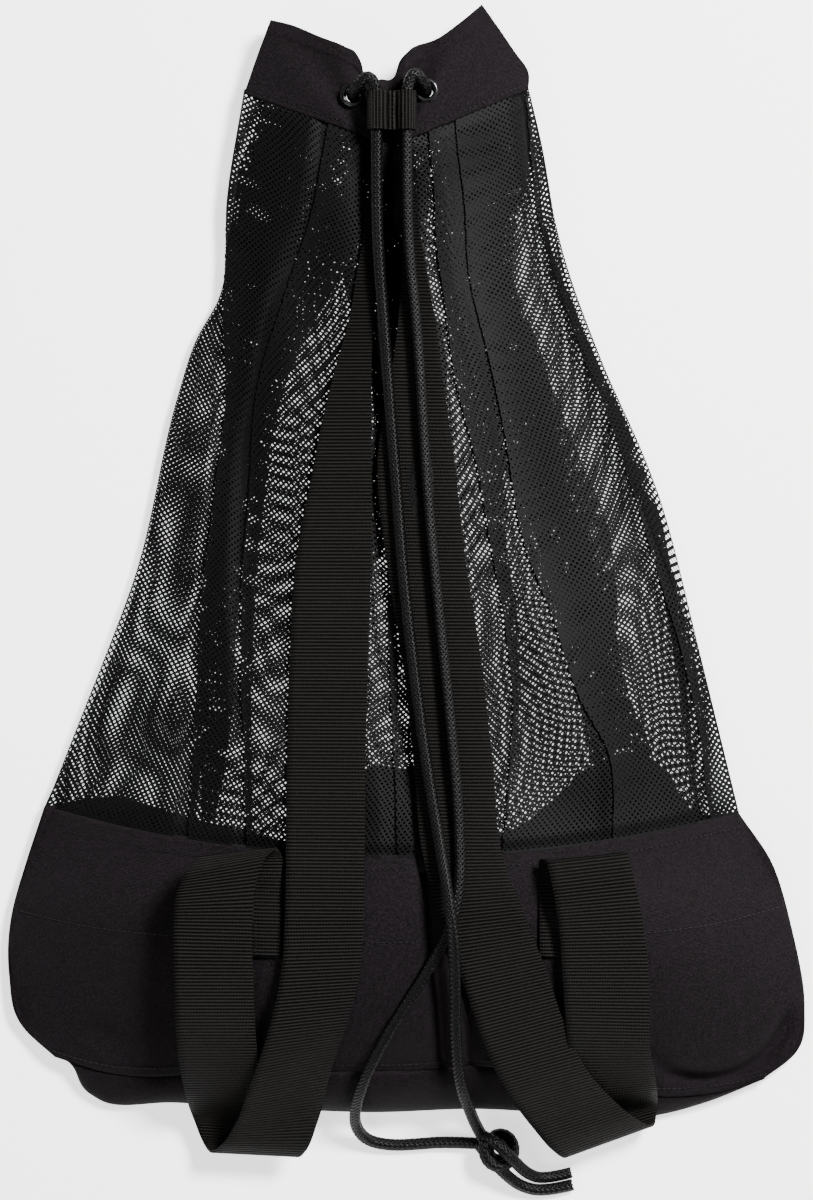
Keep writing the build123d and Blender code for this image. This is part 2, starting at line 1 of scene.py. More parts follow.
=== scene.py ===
import bpy
import numpy as np
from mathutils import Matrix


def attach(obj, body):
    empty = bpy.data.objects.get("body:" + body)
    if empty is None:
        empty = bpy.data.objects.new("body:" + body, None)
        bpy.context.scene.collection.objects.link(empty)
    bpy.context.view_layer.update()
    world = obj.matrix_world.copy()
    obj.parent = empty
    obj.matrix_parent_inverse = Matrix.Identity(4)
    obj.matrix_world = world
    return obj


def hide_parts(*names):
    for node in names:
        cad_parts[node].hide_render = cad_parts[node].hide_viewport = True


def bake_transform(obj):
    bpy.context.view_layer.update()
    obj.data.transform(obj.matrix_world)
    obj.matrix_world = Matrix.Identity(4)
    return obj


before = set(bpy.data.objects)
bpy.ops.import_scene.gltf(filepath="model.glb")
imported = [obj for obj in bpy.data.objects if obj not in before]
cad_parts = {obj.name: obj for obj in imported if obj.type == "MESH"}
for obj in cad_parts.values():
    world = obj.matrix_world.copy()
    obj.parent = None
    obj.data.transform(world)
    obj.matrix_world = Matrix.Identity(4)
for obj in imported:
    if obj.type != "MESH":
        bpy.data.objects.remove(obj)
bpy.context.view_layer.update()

# ---------------------------------------------------------------- woven base, both walls
# The lower part of the sack is a tube of black plain-weave polyester. Lying flat it is two walls,
# one over the other, joined by a fold at each side; the lower one rests on the floor.
# The seams are sewn with the edges inside, so only a soft ridge shows along them.
WALL_CUT = (0.515, 0.165)
CLOTH = 0.0012
SIDE_EDGE = 0.009
FLOOR_GAP = 0.0015
NECK_LIFT = 0.0125
# Stops along the bag, from its bottom to its mouth: half its width, its middle line, its height.
HALF_WIDTH = [(-0.350, 0.215), (-0.320, 0.238), (-0.300, 0.250), (-0.268, 0.2575), (-0.216, 0.2545),
              (-0.17, 0.2335), (-0.013, 0.177), (0.115, 0.1375), (0.202, 0.108), (0.30, 0.094),
              (0.372, 0.09)]
MIDDLE_LINE = [(-0.344, 0.012), (-0.300, 0.006), (-0.25, 0.0), (-0.17, -0.007), (-0.013, 0.0),
               (0.115, -0.011), (0.30, -0.012)]
CROWN = [(-0.35, 0.012), (-0.344, 0.018), (-0.314, 0.046), (-0.268, 0.068), (-0.216, 0.0765),
         (-0.17, 0.069), (-0.013, 0.055), (0.115, 0.045), (0.202, 0.0385), (0.30, 0.037)]


def flow(stops, at):
    """A smooth line through (place, value) stops, read at the given places."""
    places = np.array([place for place, _ in stops], float)
    values = np.array([value for _, value in stops], float)
    slopes = np.gradient(values, places, axis=0)
    at = np.asarray(at, float)
    i = np.clip(np.searchsorted(places, at) - 1, 0, len(places) - 2)
    span = places[i + 1] - places[i]
    f = np.clip((at - places[i]) / span, 0, 1)
    if values.ndim > 1:
        span, f = span[..., None], f[..., None]
    near = values[i] * (1 + 2 * f) * (1 - f) ** 2 + slopes[i] * span * f * (1 - f) ** 2
    return near + values[i + 1] * f**2 * (3 - 2 * f) + slopes[i + 1] * span * f**2 * (f - 1)


def ease(a, b, at):
    """0 before a, 1 after b, smooth between."""
    f = np.clip((at - a) / (b - a), 0, 1)
    return f * f * (3 - 2 * f)


def crease(distance, width):
    """1 along a fold line, falling away smoothly either side."""
    return np.exp(-((distance / width) ** 2))


def neck_lift(y):
    """The drawcord under the collar holds the neck off the floor."""
    return NECK_LIFT * ease(0.15, 0.30, y)


def side_edge(y):
    """Height of the folds at the bag's sides."""
    return SIDE_EDGE + 0.7 * neck_lift(y)


def side_share(x, y):
    """0 on the middle line of the bag, 1 at its side folds."""
    return np.clip(np.abs(x - flow(MIDDLE_LINE, y)) / flow(HALF_WIDTH, y), 0, 1)


def bag_top(x, y):
    """Height of the bag's upper side."""
    edge = side_edge(y)
    return edge + (flow(CROWN, y) - edge) * (1 - side_share(x, y) ** 2)


def bag_under(x, y):
    """Height of the side that lies on the floor."""
    low = FLOOR_GAP + neck_lift(y)
    return low + (side_edge(y) - 0.001 - low) * side_share(x, y) ** 6


def seam_y(x):
    """Where the mesh is sewn to the upper wall."""
    return -0.176 + 0.53 * x**2


def coons(across, along, left, right, near, far):
    """Plan place on a panel whose four edges are lines of stops."""
    a, b = across[:, None], along[:, None]
    sides = (1 - a) * flow(left, along) + a * flow(right, along)
    ends = (1 - b) * flow(near, across) + b * flow(far, across)
    corners = (1 - a) * (1 - b) * flow(near, [0]) + a * (1 - b) * flow(near, [1])
    corners = corners + (1 - a) * b * flow(far, [0]) + a * b * flow(far, [1])
    return sides + ends - corners


def pick(piece):
    """Selects one piece and nothing else."""
    bpy.ops.object.select_all(action="DESELECT")
    piece.select_set(True)
    bpy.context.view_layer.objects.active = piece


def flat_grid(name, columns, rows):
    """A flat square, one unit each way, to be draped."""
    bpy.ops.object.select_all(action="DESELECT")
    bpy.ops.mesh.primitive_grid_add(x_subdivisions=columns, y_subdivisions=rows, size=1)
    piece = bpy.context.object
    piece.name = name
    return piece


def lay_cloth(name, columns, rows, size, place):
    """A flat piece of cloth, laid where place(across, along) says. The weave keeps its real size."""
    piece = flat_grid(name, columns, rows)
    drape(piece, size, place)
    return piece


def drape(piece, size, place, made=(1, 1)):
    """Moves a flat piece of cloth to its place and gives it its two maps."""
    mesh = piece.data
    flat = np.empty(len(mesh.vertices) * 3)
    mesh.vertices.foreach_get("co", flat)
    flat = flat.reshape(-1, 3)
    across, along = flat[:, 0] / made[0] + 0.5, flat[:, 1] / made[1] + 0.5
    corners = np.empty(len(mesh.loops), int)
    mesh.loops.foreach_get("vertex_index", corners)
    for old in list(mesh.uv_layers):
        mesh.uv_layers.remove(old)
    cut = np.stack([across, along], 1)[corners]
    for map_name, scale in (("OFBake", (1, 1)), ("Weave", size)):
        layer = mesh.uv_layers.new(name=map_name)
        layer.data.foreach_set("uv", (cut * np.array(scale)).ravel())
    mesh.vertices.foreach_set("co", np.stack(place(across, along), 1).ravel())
    mesh.update()


def thicken(piece, thickness, offset=0):
    """Gives a cloth its thickness: -1 inwards, 0 both ways, 1 outwards."""
    solid = piece.modifiers.new("Thickness", "SOLIDIFY")
    solid.thickness = thickness
    solid.offset = offset
    pick(piece)
    bpy.ops.object.modifier_apply(modifier=solid.name)


def smooth(piece):
    """Shades a piece as one soft surface."""
    pick(piece)
    bpy.ops.object.shade_smooth()


def finish_cloth(piece, material, body, cad_slot, *nodes):
    """Gives a piece its material and its body, and hides the CAD nodes that it stands for."""
    piece.data.materials.clear()
    piece.data.materials.append(material)
    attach(piece, body)
    if nodes:
        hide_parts(*nodes)


def new_finish(name, values):
    """A material whose shader has the given values."""
    material = bpy.data.materials.new(name)
    material.use_nodes = True
    for socket, value in values.items():
        material.node_tree.nodes["Principled BSDF"].inputs[socket].default_value = value
    return material


def feed_shader(material, output, socket):
    """Lets a pattern drive one of the shader's sockets."""
    material.node_tree.links.new(output, material.node_tree.nodes["Principled BSDF"].inputs[socket])


def add_node(material, kind, values, **fed):
    """A node with its values by socket, and the outputs that feed its other sockets."""
    node = material.node_tree.nodes.new(kind)
    for socket, value in values.items():
        node.inputs[socket].default_value = value
    for socket, output in fed.items():
        material.node_tree.links.new(output, node.inputs[socket])
    return node


def thread_place(material, threads):
    """The cloth's own map in metres, turned into threads."""
    cut = material.node_tree.nodes.new("ShaderNodeUVMap")
    cut.uv_map = "Weave"
    scale = add_node(material, "ShaderNodeMapping", {"Scale": (*threads, 1)}, Vector=cut.outputs["UV"])
    return scale.outputs["Vector"]


def object_place(material):
    """The piece's own place in metres."""
    return material.node_tree.nodes.new("ShaderNodeTexCoord").outputs["Object"]


def bands(material, direction, scale, place, distortion=0.0):
    """Even light and dark bands, as of threads lying side by side."""
    wave = add_node(material, "ShaderNodeTexWave", {"Scale": scale, "Distortion": distortion}, Vector=place)
    wave.bands_direction = direction
    return wave.outputs["Fac"]


def fibres(material, scale, detail, place):
    """The fine unevenness of yarn and dye."""
    noise = add_node(material, "ShaderNodeTexNoise", {"Scale": scale, "Detail": detail}, Vector=place)
    return noise.outputs["Fac"]


def share_added(material, share, part, whole):
    """A share of one pattern on top of another."""
    added = add_node(material, "ShaderNodeMath", {1: share})
    added.operation = "MULTIPLY_ADD"
    material.node_tree.links.new(part, added.inputs[0])
    material.node_tree.links.new(whole, added.inputs[2])
    return added.outputs["Value"]


def colour_by_pattern(material, pattern, low, dark, high, light):
    """Colours a material by its pattern: dark up to the low value, light from the high one."""
    ramp = add_node(material, "ShaderNodeValToRGB", {}, Fac=pattern)
    for stop, place, colour in zip(ramp.color_ramp.elements, (low, high), (dark, light)):
        stop.position = place
        stop.color = (*colour, 1)
    feed_shader(material, ramp.outputs["Color"], "Base Color")


def raise_pattern(material, pattern, strength, distance):
    """Turns the pattern into a fine relief."""
    values = {"Strength": strength, "Distance": distance}
    relief = add_node(material, "ShaderNodeBump", values, Height=pattern)
    feed_shader(material, relief.outputs["Normal"], "Normal")


# A band texture of this scale repeats once for each unit of the map.
ONE_THREAD = 0.3183


def black_cloth(name, dark, light, roughness, threads, relief):
    """Black cloth of crossing threads, with the slight unevenness of dye and light."""
    material = new_finish(name, {
        "Roughness": roughness, "Specular IOR Level": 0.06, "Sheen Weight": 0.03,
        "Sheen Roughness": 0.45, "Sheen Tint": (0.55, 0.5, 0.54, 1)})
    grid = thread_place(material, (threads, threads))
    weave = material.node_tree.nodes.new("ShaderNodeMath")
    weave.operation = "MULTIPLY"
    for socket, direction in enumerate("XY"):
        material.node_tree.links.new(bands(material, direction, ONE_THREAD, grid), weave.inputs[socket])
    uneven = fibres(material, 800.0, 6.0, object_place(material))
    shade = share_added(material, 0.55, weave.outputs["Value"], uneven)
    colour_by_pattern(material, shade, 0.50, dark, 0.88, light)
    raise_pattern(material, shade, 0.6, relief)
    return material


woven = black_cloth("woven_polyester", (0.0003, 0.0002, 0.0003), (0.0118, 0.0084, 0.0106), 0.75,
                    1400, 0.0005)

LEFT_SIDE = [(0, (-0.228, -0.309)), (0.15, (-0.249, -0.290)), (0.4, (-0.258, -0.256)),
             (0.65, (-0.2565, -0.218)), (0.85, (-0.247, -0.183)), (1, (-0.235, -0.1467))]
RIGHT_SIDE = [(0, (0.231, -0.3235)), (0.14, (0.2525, -0.307)), (0.35, (0.2585, -0.277)),
              (0.6, (0.2505, -0.228)), (0.8, (0.238, -0.185)), (1, (0.216, -0.1513))]
WALL_SEAM = [(0, (-0.228, -0.309)), (0.06, (-0.200, -0.317)), (0.3, (-0.10, -0.315)),
             (0.5, (-0.004, -0.314)), (0.62, (0.05, -0.311)), (0.74, (0.105, -0.322)),
             (0.84, (0.155, -0.333)), (0.93, (0.200, -0.332)), (1, (0.231, -0.3235))]
MESH_SEAM = [(a, (x, seam_y(x))) for a, x in
             zip(np.linspace(0, 1, 9), np.linspace(-0.235, 0.216, 9))]
GROOVE_DEPTH, GROOVE_WIDTH = 0.007, 0.0045
FAINT_DEPTH, FAINT_WIDTH = 0.0035, 0.004
GROOVES_APART = 0.016
CRESCENT_X, CRESCENT_Y, CRESCENT_RADIUS = 0.193, -0.268, 0.0555
CRESCENT_DEPTH, CRESCENT_WIDTH = 0.009, 0.0055
DENT_X, DENT_Y, DENT_LENGTHENED = -0.196, -0.292, 1.6
DENT_DEPTH, DENT_SIZE = 0.004, 0.009
RUMPLE, HEM_DIP = 0.0013, 0.0004
LOWEST = 0.004


def back_wall(across, along):
    """The upper wall: two grooves near its middle, a crescent at the right corner, a dent at the left."""
    x, y = coons(across, along, LEFT_SIDE, RIGHT_SIDE, WALL_SEAM, MESH_SEAM).T
    z = bag_top(x, y)
    from_groove = x - (0.0185 - 0.10 * (y + 0.245))
    z = z - GROOVE_DEPTH * crease(from_groove, GROOVE_WIDTH) * ease(-0.322, -0.30, y)
    z = z - FAINT_DEPTH * crease(from_groove - GROOVES_APART, FAINT_WIDTH) * ease(-0.27, -0.30, y)
    from_crescent = np.hypot(x - CRESCENT_X, y - CRESCENT_Y) - CRESCENT_RADIUS
    corner = ease(0.148, 0.185, x) * ease(-0.272, -0.298, y)
    z = z - CRESCENT_DEPTH * crease(from_crescent, CRESCENT_WIDTH) * corner
    z = z - DENT_DEPTH * crease(np.hypot((x - DENT_X) / DENT_LENGTHENED, y - DENT_Y), DENT_SIZE)
    rumple = np.sin(x * 31 + y * 22) * np.sin(y * 37 - x * 9 + 1.0)
    z = z + RUMPLE * rumple * (1 - side_share(x, y) ** 4)
    z = z - HEM_DIP * crease(along - 0.985, 0.014)
    return x, y, np.maximum(z, LOWEST)


base_back = lay_cloth("base_back_wall", 210, 84, WALL_CUT, back_wall)
thicken(base_back, CLOTH, -1)
smooth(base_back)
finish_cloth(base_back, woven, "bag", "woven_polyester", "base_wall_back")

FRONT_SEAM = [(-0.235, -0.149), (-0.19, -0.143), (-0.142, -0.156), (-0.10, -0.166), (-0.075, -0.171),
              (-0.052, -0.160), (-0.032, -0.128), (0.0, -0.124), (0.02, -0.127), (0.04, -0.165),
              (0.075, -0.160), (0.10, -0.140), (0.12, -0.1225), (0.165, -0.1215), (0.185, -0.150),
              (0.216, -0.1513)]
FRONT_GAP, FRONT_RUMPLE = 0.0006, 0.0007


def front_wall(across, along):
    """The lower wall, with a slight waviness."""
    far = [(a, (x, y)) for a, (x, y) in zip(np.linspace(0, 1, len(FRONT_SEAM)), FRONT_SEAM)]
    x, y = coons(across, along, LEFT_SIDE, RIGHT_SIDE, WALL_SEAM, far).T
    rumple = np.sin(x * 47) * np.sin(y * 52) * (1 - side_share(x, y) ** 4)
    return x, y, bag_under(x, y) + FRONT_GAP + FRONT_RUMPLE * rumple


base_front = lay_cloth("base_front_wall", 160, 50, WALL_CUT, front_wall)
thicken(base_front, CLOTH, 1)
smooth(base_front)
finish_cloth(base_front, woven, "bag", "woven_polyester", "base_wall_front")

# ---------------------------------------------------------------- bottom panel
# The flat bottom of the sack, cut from the same polyester and sewn to both walls.
# With the bag lying down it stands up as a low slope at the end and tucks under itself.
BOTTOM_CUT = (0.49, 0.058)
BOTTOM_EDGE = [(0, (-0.217, -0.306)), (0.035, (-0.2125, -0.326)), (0.08, (-0.200, -0.3375)),
               (0.2, (-0.150, -0.3395)), (0.45, (-0.024, -0.3455)), (0.62, (0.05, -0.3435)),
               (0.76, (0.115, -0.3475)), (0.85, (0.158, -0.3485)), (0.93, (0.197, -0.3385)),
               (1, (0.233, -0.3235))]
STANDING_SHARE = 0.72
TUCK = 0.020
FOLD_HEIGHT, TUCK_DROP = 0.0045, 0.0028
BOTTOM_RUMPLE = 0.0012


def bottom(across, along):
    """Down from the wall's seam to the far edge, then a little way in underneath."""
    seam = flow(WALL_SEAM, across)
    far = flow(BOTTOM_EDGE, across)
    down = np.clip(along / STANDING_SHARE, 0, 1)
    under = np.clip((along - STANDING_SHARE) / (1 - STANDING_SHARE), 0, 1)
    reach = np.sin(down * np.pi / 2)[:, None] ** 0.85
    x, y = (seam * (1 - reach) + far * reach).T
    top = bag_top(seam[:, 0], seam[:, 1]) - CLOTH
    fallen = down**1.35
    z = top * (1 - fallen) + FOLD_HEIGHT * fallen
    z = z - TUCK_DROP * np.sin(under * np.pi / 2) + BOTTOM_RUMPLE * np.sin(x * 55 + 2) * np.sin(down * np.pi)
    return x, y + TUCK * under, np.maximum(z, 0.0013)


def edit_all(piece, operator, **settings):
    """Uses one of the edit mode operators on the whole of a piece."""
    pick(piece)
    bpy.ops.object.mode_set(mode="EDIT")
    bpy.ops.mesh.select_all(action="SELECT")
    operator(**settings)
    bpy.ops.object.mode_set(mode="OBJECT")


bottom_cloth = lay_cloth("bottom_cloth", 180, 26, BOTTOM_CUT, bottom)
edit_all(bottom_cloth, bpy.ops.mesh.flip_normals)
thicken(bottom_cloth, CLOTH, -1)
smooth(bottom_cloth)
finish_cloth(bottom_cloth, woven, "bag", "woven_polyester", "bottom_panel")

# ---------------------------------------------------------------- mesh body
# The body of the sack is open net with diamond holes, two panels sewn together as a tube.
# Each panel is as wide as the base, and towards the neck its spare width lies in flat pleats.
MESH_CUT = (0.515, 0.47)
HALF_CUT = (MESH_CUT[0] / 2, MESH_CUT[1])
NET_COLUMNS, NET_ROWS = 70, 127
STRAND = 0.00124
HALF_HOLE = 0.00185
PLEAT_LAYER = 0.0012
SAG, RIPPLE = 0.004, 0.0016
CORD_DIP, CORD_DIP_WIDTH = 0.012, 0.010
NOTCH_X, NOTCH_Y, NOTCH_ROUND = -0.009, 0.284, 0.012

LEFT_EDGE = [(0, -0.235), (0.03, -0.2285), (0.29, -0.178), (0.56, -0.1485), (0.635, -0.138), (0.72, -0.120),
             (0.84, -0.1165), (1, -0.105)]
RIGHT_EDGE = [(0, 0.216), (0.27, 0.181), (0.57, 0.1267), (0.80, 0.0965), (0.91, 0.088), (1, 0.079)]
# Each pleat: the place of its upper fold and its depth, at stops from the base seam to the neck.
BACK_PLEATS = [
    ([(0, -0.140), (0.33, -0.132), (0.54, -0.119), (0.755, -0.119), (0.86, -0.113), (0.93, -0.102),
      (1, -0.091)],
     [(0, 0.004), (0.33, 0.013), (0.54, 0.024), (0.755, 0.042), (0.93, 0.050), (1, 0.052)]),
    ([(0, -0.102), (0.35, -0.105), (0.6, -0.096), (0.74, -0.080), (0.82, -0.066), (1, -0.050)],
     [(0, 0.004), (0.3, 0.009), (0.6, 0.014), (0.82, 0.028), (1, 0.026)]),
    ([(0, -0.006), (0.35, -0.012), (0.6, -0.018), (1, -0.022)],
     [(0, 0.002), (0.35, 0.008), (0.6, 0.017), (0.8, 0.020), (1, 0.020)]),
    ([(0, 0.060), (0.25, 0.066), (0.44, 0.051), (0.6, 0.036), (0.8, 0.020), (1, 0.014)],
     [(0, 0.001), (0.33, 0.009), (0.6, 0.018), (0.8, 0.024), (1, 0.022)]),
    ([(0, 0.132), (0.12, 0.127), (0.17, 0.114), (0.30, 0.093), (0.44, 0.071), (0.62, 0.057),
      (0.80, 0.039), (0.90, 0.035), (1, 0.031)],
     [(0, 0.016), (0.12, 0.030), (0.44, 0.036), (0.62, 0.031), (0.80, 0.030), (0.90, 0.050), (1, 0.046)]),
    ([(0, 0.196), (0.14, 0.186), (0.29, 0.167), (0.47, 0.141), (0.62, 0.117), (0.8, 0.088), (1, 0.076)],
     [(0, 0.004), (0.3, 0.010), (0.47, 0.010), (0.6, 0.006), (0.8, 0.003), (1, 0.002)]),
]
FRONT_PLEATS = [
    ([(0, -0.134), (0.3, -0.131), (0.6, -0.114), (0.8, -0.111), (0.9, -0.104), (1, -0.084)],
     [(0, 0.004), (0.1, 0.018), (0.35, 0.022), (0.6, 0.024), (0.8, 0.048), (1, 0.048)]),
    ([(0, -0.045), (0.3, -0.030), (0.6, -0.024), (0.8, -0.042), (1, -0.034)],
     [(0, 0.002), (0.3, 0.008), (0.6, 0.050), (0.8, 0.055), (1, 0.050)]),
    ([(0, 0.120), (0.3, 0.094), (0.6, 0.048), (0.8, 0.018), (0.9, 0.028), (1, 0.018)],
     [(0, 0.010), (0.15, 0.030), (0.6, 0.040), (0.8, 0.046), (1, 0.056)]),
    ([(0, 0.186), (0.3, 0.160), (0.6, 0.112), (0.8, 0.088), (1, 0.076)],
     [(0, 0.004), (0.3, 0.010), (0.6, 0.006), (0.8, 0.003), (1, 0.002)]),
]


def neck_seam(x):
    """The collar's seam drops to a notch where the drawcord pulls it down."""
    slope = np.where(x < NOTCH_X, 0.40, 0.45)
    return NOTCH_Y + slope * (np.hypot(x - NOTCH_X, NOTCH_ROUND) - NOTCH_ROUND)


def front_seam(x):
    """Where the net is sewn to the lower wall."""
    return flow(FRONT_SEAM, x)


def folded(across, along, pleats, width):
    """Where a pleated row puts each place: across the bag, and below the top layer."""
    left, right = flow(LEFT_EDGE, along), flow(RIGHT_EDGE, along)
    depths = np.array([flow(depth, along) for _, depth in pleats])
    depths = depths * ((width - (right - left)) / 2 / depths.sum(0))
    flat = across * width
    x = left + flat
    sunk = np.zeros_like(flat)
    before = np.zeros_like(flat)
    for (edge, _), depth in zip(pleats, depths):
        start = flow(edge, along) + depth - left + 2 * before
        turned = np.clip(flat - start, 0, depth)
        x = x - 2 * turned
        under = 1 - turned / depth
        sunk = sunk + under * ease(start - depth - 0.012, start - depth, flat)
        before = before + depth
    return x, sunk


def uneven(across, along, phase):
    """The net never lies quite straight: a slow wander of its rows and columns."""
    wander = 0.0010 * np.sin(across * 31 + along * 13 + phase)
    wander = wander + 0.0004 * np.sin(across * 23 - along * 37 + 2 * phase)
    loose = ease(0, 0.06, along) * ease(1, 0.94, along) * ease(0, 0.03, across) * ease(1, 0.97, across)
    return wander * loose, 0.0006 * np.sin(across * 47 - along * 21 + phase) * loose


def net_plan(across, along, pleats, seam, phase, shift):
    """Plan place of a panel's net, and how far each place lies below the top layer."""
    x, sunk = folded(across, along, pleats, MESH_CUT[0])
    shift_x, shift_y = uneven(across, along, phase)
    x = x + shift_x
    y = (1 - along) * seam(x) + along * neck_seam(x) + shift * sunk * ease(0, 0.1, along) + shift_y
    return x, y, sunk


def back_mesh(across, along):
    """The upper net: it sags a little between the seams and dips under the cord."""
    x, y, sunk = net_plan(across, along, BACK_PLEATS, seam_y, 0.4, -HALF_HOLE)
    z = bag_top(x, y) - 2 * PLEAT_LAYER * sunk
    sag = SAG * np.sin(x * 26 + 1) * np.sin(y * 19) + RIPPLE * np.sin(x * 88 + y * 21)
    z = z + sag * (1 - side_share(x, y) ** 3) * ease(0, 0.1, along) * ease(1, 0.9, along)
    under_cord = ease(0.45, 0.7, along) * ease(1.02, 0.9, along)
    z = z - CORD_DIP * crease(x + 0.008, CORD_DIP_WIDTH) * under_cord
    return x, y, z - 0.0016 * ease(0.02, 0, along) - 0.001 * ease(0.98, 1, along)


def front_mesh(across, along):
    """The lower net, flat on the floor but for its pleats."""
    x, y, sunk = net_plan(across, along, FRONT_PLEATS, front_seam, 2.1, HALF_HOLE)
    return x, y, bag_under(x, y) + 0.0008 + PLEAT_LAYER * sunk


def lay_net(name, place, half):
    """Half a panel's net of diamond holes, made flat at its real size and then laid in place."""
    net = flat_grid(name, NET_COLUMNS, NET_ROWS)
    crossings = len(net.data.vertices)
    bpy.ops.object.mode_set(mode="EDIT")
    bpy.ops.transform.resize(value=(HALF_CUT[0], HALF_CUT[1], 1))
    bpy.ops.mesh.select_all(action="SELECT")
    bpy.ops.mesh.poke()
    bpy.ops.mesh.select_mode(type="EDGE")
    bpy.ops.mesh.select_all(action="DESELECT")
    bpy.ops.object.mode_set(mode="OBJECT")
    ends = np.empty(len(net.data.edges) * 2, int)
    net.data.edges.foreach_get("vertices", ends)
    inner = (ends.reshape(-1, 2) < crossings).all(1)
    net.data.edges.foreach_set("select", inner)
    bpy.ops.object.mode_set(mode="EDIT")
    bpy.ops.mesh.dissolve_edges(use_verts=False)
    bpy.ops.mesh.select_mode(type="FACE")
    bpy.ops.mesh.select_all(action="SELECT")
    bpy.ops.mesh.inset(use_individual=True, thickness=STRAND / 2, use_even_offset=True)
    bpy.ops.mesh.delete(type="FACE")
    bpy.ops.object.mode_set(mode="OBJECT")
    drape(net, HALF_CUT, lambda across, along: place((half + across) / 2, along), HALF_CUT)
    return net


net_yarn = new_finish("polyester_net", {"Roughness": 0.55, "Specular IOR Level": 0.06})
net_fibre = fibres(net_yarn, 1.0, 3.0, thread_place(net_yarn, (3600, 3600)))
colour_by_pattern(net_yarn, net_fibre, 0.35, (0.0004, 0.0004, 0.0005), 0.75, (0.0048, 0.0046, 0.0050))
raise_pattern(net_yarn, net_fibre, 0.5, 0.0002)

for side, place in (("front", front_mesh), ("back", back_mesh)):
    for half, word in enumerate(("left", "right")):
        net = lay_net(f"mesh_{side}_{word}", place, half)
        finish_cloth(net, net_yarn, "bag", "polyester_mesh", f"mesh_panel_{side}")

# ---------------------------------------------------------------- collar
# A stiff band of the woven polyester, sewn round the neck of the mesh and hemmed at the mouth.
# The drawcord gathers it to a notch, and its two wings stand up either side.
COLLAR_CUT = (0.215, 0.046)
COLLAR_CLOTH = 0.0013
HEM_STEP = 0.0011
SOFT_FOLD, NOTCH_FOLD = 0.0011, 0.0027
COLLAR_LOW = [(a, (x, float(neck_seam(x)))) for a, x in
              zip(np.linspace(0, 1, 13), np.linspace(-0.105, 0.079, 13))]
COLLAR_HIGH = [(0, (-0.0877, 0.3616)), (0.1, (-0.072, 0.3570)), (0.2, (-0.056, 0.3495)),
               (0.3, (-0.0397, 0.3428)), (0.35, (-0.0328, 0.3390)), (0.39, (-0.0290, 0.3315)),
               (0.43, (-0.0268, 0.3210)), (0.47, (-0.0222, 0.3188)), (0.51, (-0.0160, 0.3215)),
               (0.54, (-0.0115, 0.3212)), (0.57, (-0.0078, 0.3235)), (0.61, (-0.0045, 0.3328)),
               (0.66, (0.0030, 0.3405)), (0.76, (0.0200, 0.3482)), (0.87, (0.0335, 0.3578)),
               (1, (0.0486, 0.3705))]
COLLAR_LEFT = [(0, (-0.105, 0.3148)), (0.5, (-0.0968, 0.338)), (1, (-0.0877, 0.3616))]
COLLAR_RIGHT = [(0, (0.079, 0.3176)), (0.2, (0.0788, 0.3290)), (0.42, (0.0706, 0.3405)),
                (0.7, (0.0600, 0.3555)), (1, (0.0486, 0.3705))]


def collar_ripple(x, y):
    """Soft folds that run from the notch out into the wings."""
    turn = np.arctan2(x + 0.010, y - 0.262)
    strength = ease(0.284, 0.315, y) * (1 - side_share(x, y) ** 4)
    at_notch = NOTCH_FOLD * crease(x + 0.012, 0.030) * np.cos(turn * 20)
    return strength * (SOFT_FOLD * np.sin(turn * 15 + 0.6) - at_notch)


def back_collar(across, along):
    """The upper side, with the step of its hem."""
    x, y = coons(across, along, COLLAR_LEFT, COLLAR_RIGHT, COLLAR_LOW, COLLAR_HIGH).T
    return x, y, bag_top(x, y) + collar_ripple(x, y) + HEM_STEP * ease(0.80, 0.84, along)


def front_collar(across, along):
    """The lower side, which folds less."""
    x, y = coons(across, along, COLLAR_LEFT, COLLAR_RIGHT, COLLAR_LOW, COLLAR_HIGH).T
    return x, y, bag_under(x, y) + 0.4 * collar_ripple(x, y)


EYELETS = [(-0.0345, 0.3115), (0.0125, 0.3145)]
EYELET_HOLE = 0.0058


def pierce(piece):
    """Takes out the cloth inside each eyelet."""
    pick(piece)
    mesh = piece.data
    centres = np.empty(len(mesh.polygons) * 3)
    mesh.polygons.foreach_get("center", centres)
    centres = centres.reshape(-1, 3)
    inside = np.zeros(len(centres), bool)
    for x, y in EYELETS:
        inside |= np.hypot(centres[:, 0] - x, centres[:, 1] - y) < EYELET_HOLE
    bpy.ops.object.mode_set(mode="EDIT")
    bpy.ops.mesh.select_mode(type="FACE")
    bpy.ops.mesh.select_all(action="DESELECT")
    bpy.ops.object.mode_set(mode="OBJECT")
    mesh.polygons.foreach_set("select", inside)
    bpy.ops.object.mode_set(mode="EDIT")
    bpy.ops.mesh.delete(type="FACE")
    bpy.ops.object.mode_set(mode="OBJECT")


for name, place, side, node in (
    ("collar_back_side", back_collar, -1, "collar_back"),
    ("collar_front_side", front_collar, 1, "collar_front"),
):
    collar = lay_cloth(name, 190, 48, COLLAR_CUT, place)
    pierce(collar)
    thicken(collar, COLLAR_CLOTH, side)
    smooth(collar)
    finish_cloth(collar, woven, "bag", "woven_polyester", node)

# ---------------------------------------------------------------- eyelets
# Two-part eyelets of black metal, pressed through each side of the collar: a rolled flange
# above, a barrel through the cloth and a washer below.
black_metal = new_finish("black_metal", {
    "Base Color": (0.006, 0.006, 0.0065, 1), "Metallic": 0.85, "Coat Weight": 0.4})
wear = fibres(black_metal, 700.0, 5.0, object_place(black_metal))
polish = add_node(black_metal, "ShaderNodeMapRange", {"To Min": 0.28, "To Max": 0.48}, Value=wear)
feed_shader(black_metal, polish.outputs["Result"], "Roughness")
BORE, BARREL, FLANGE = 0.0049, 0.0057, 0.0079
FLANGE_FLATNESS = 0.62


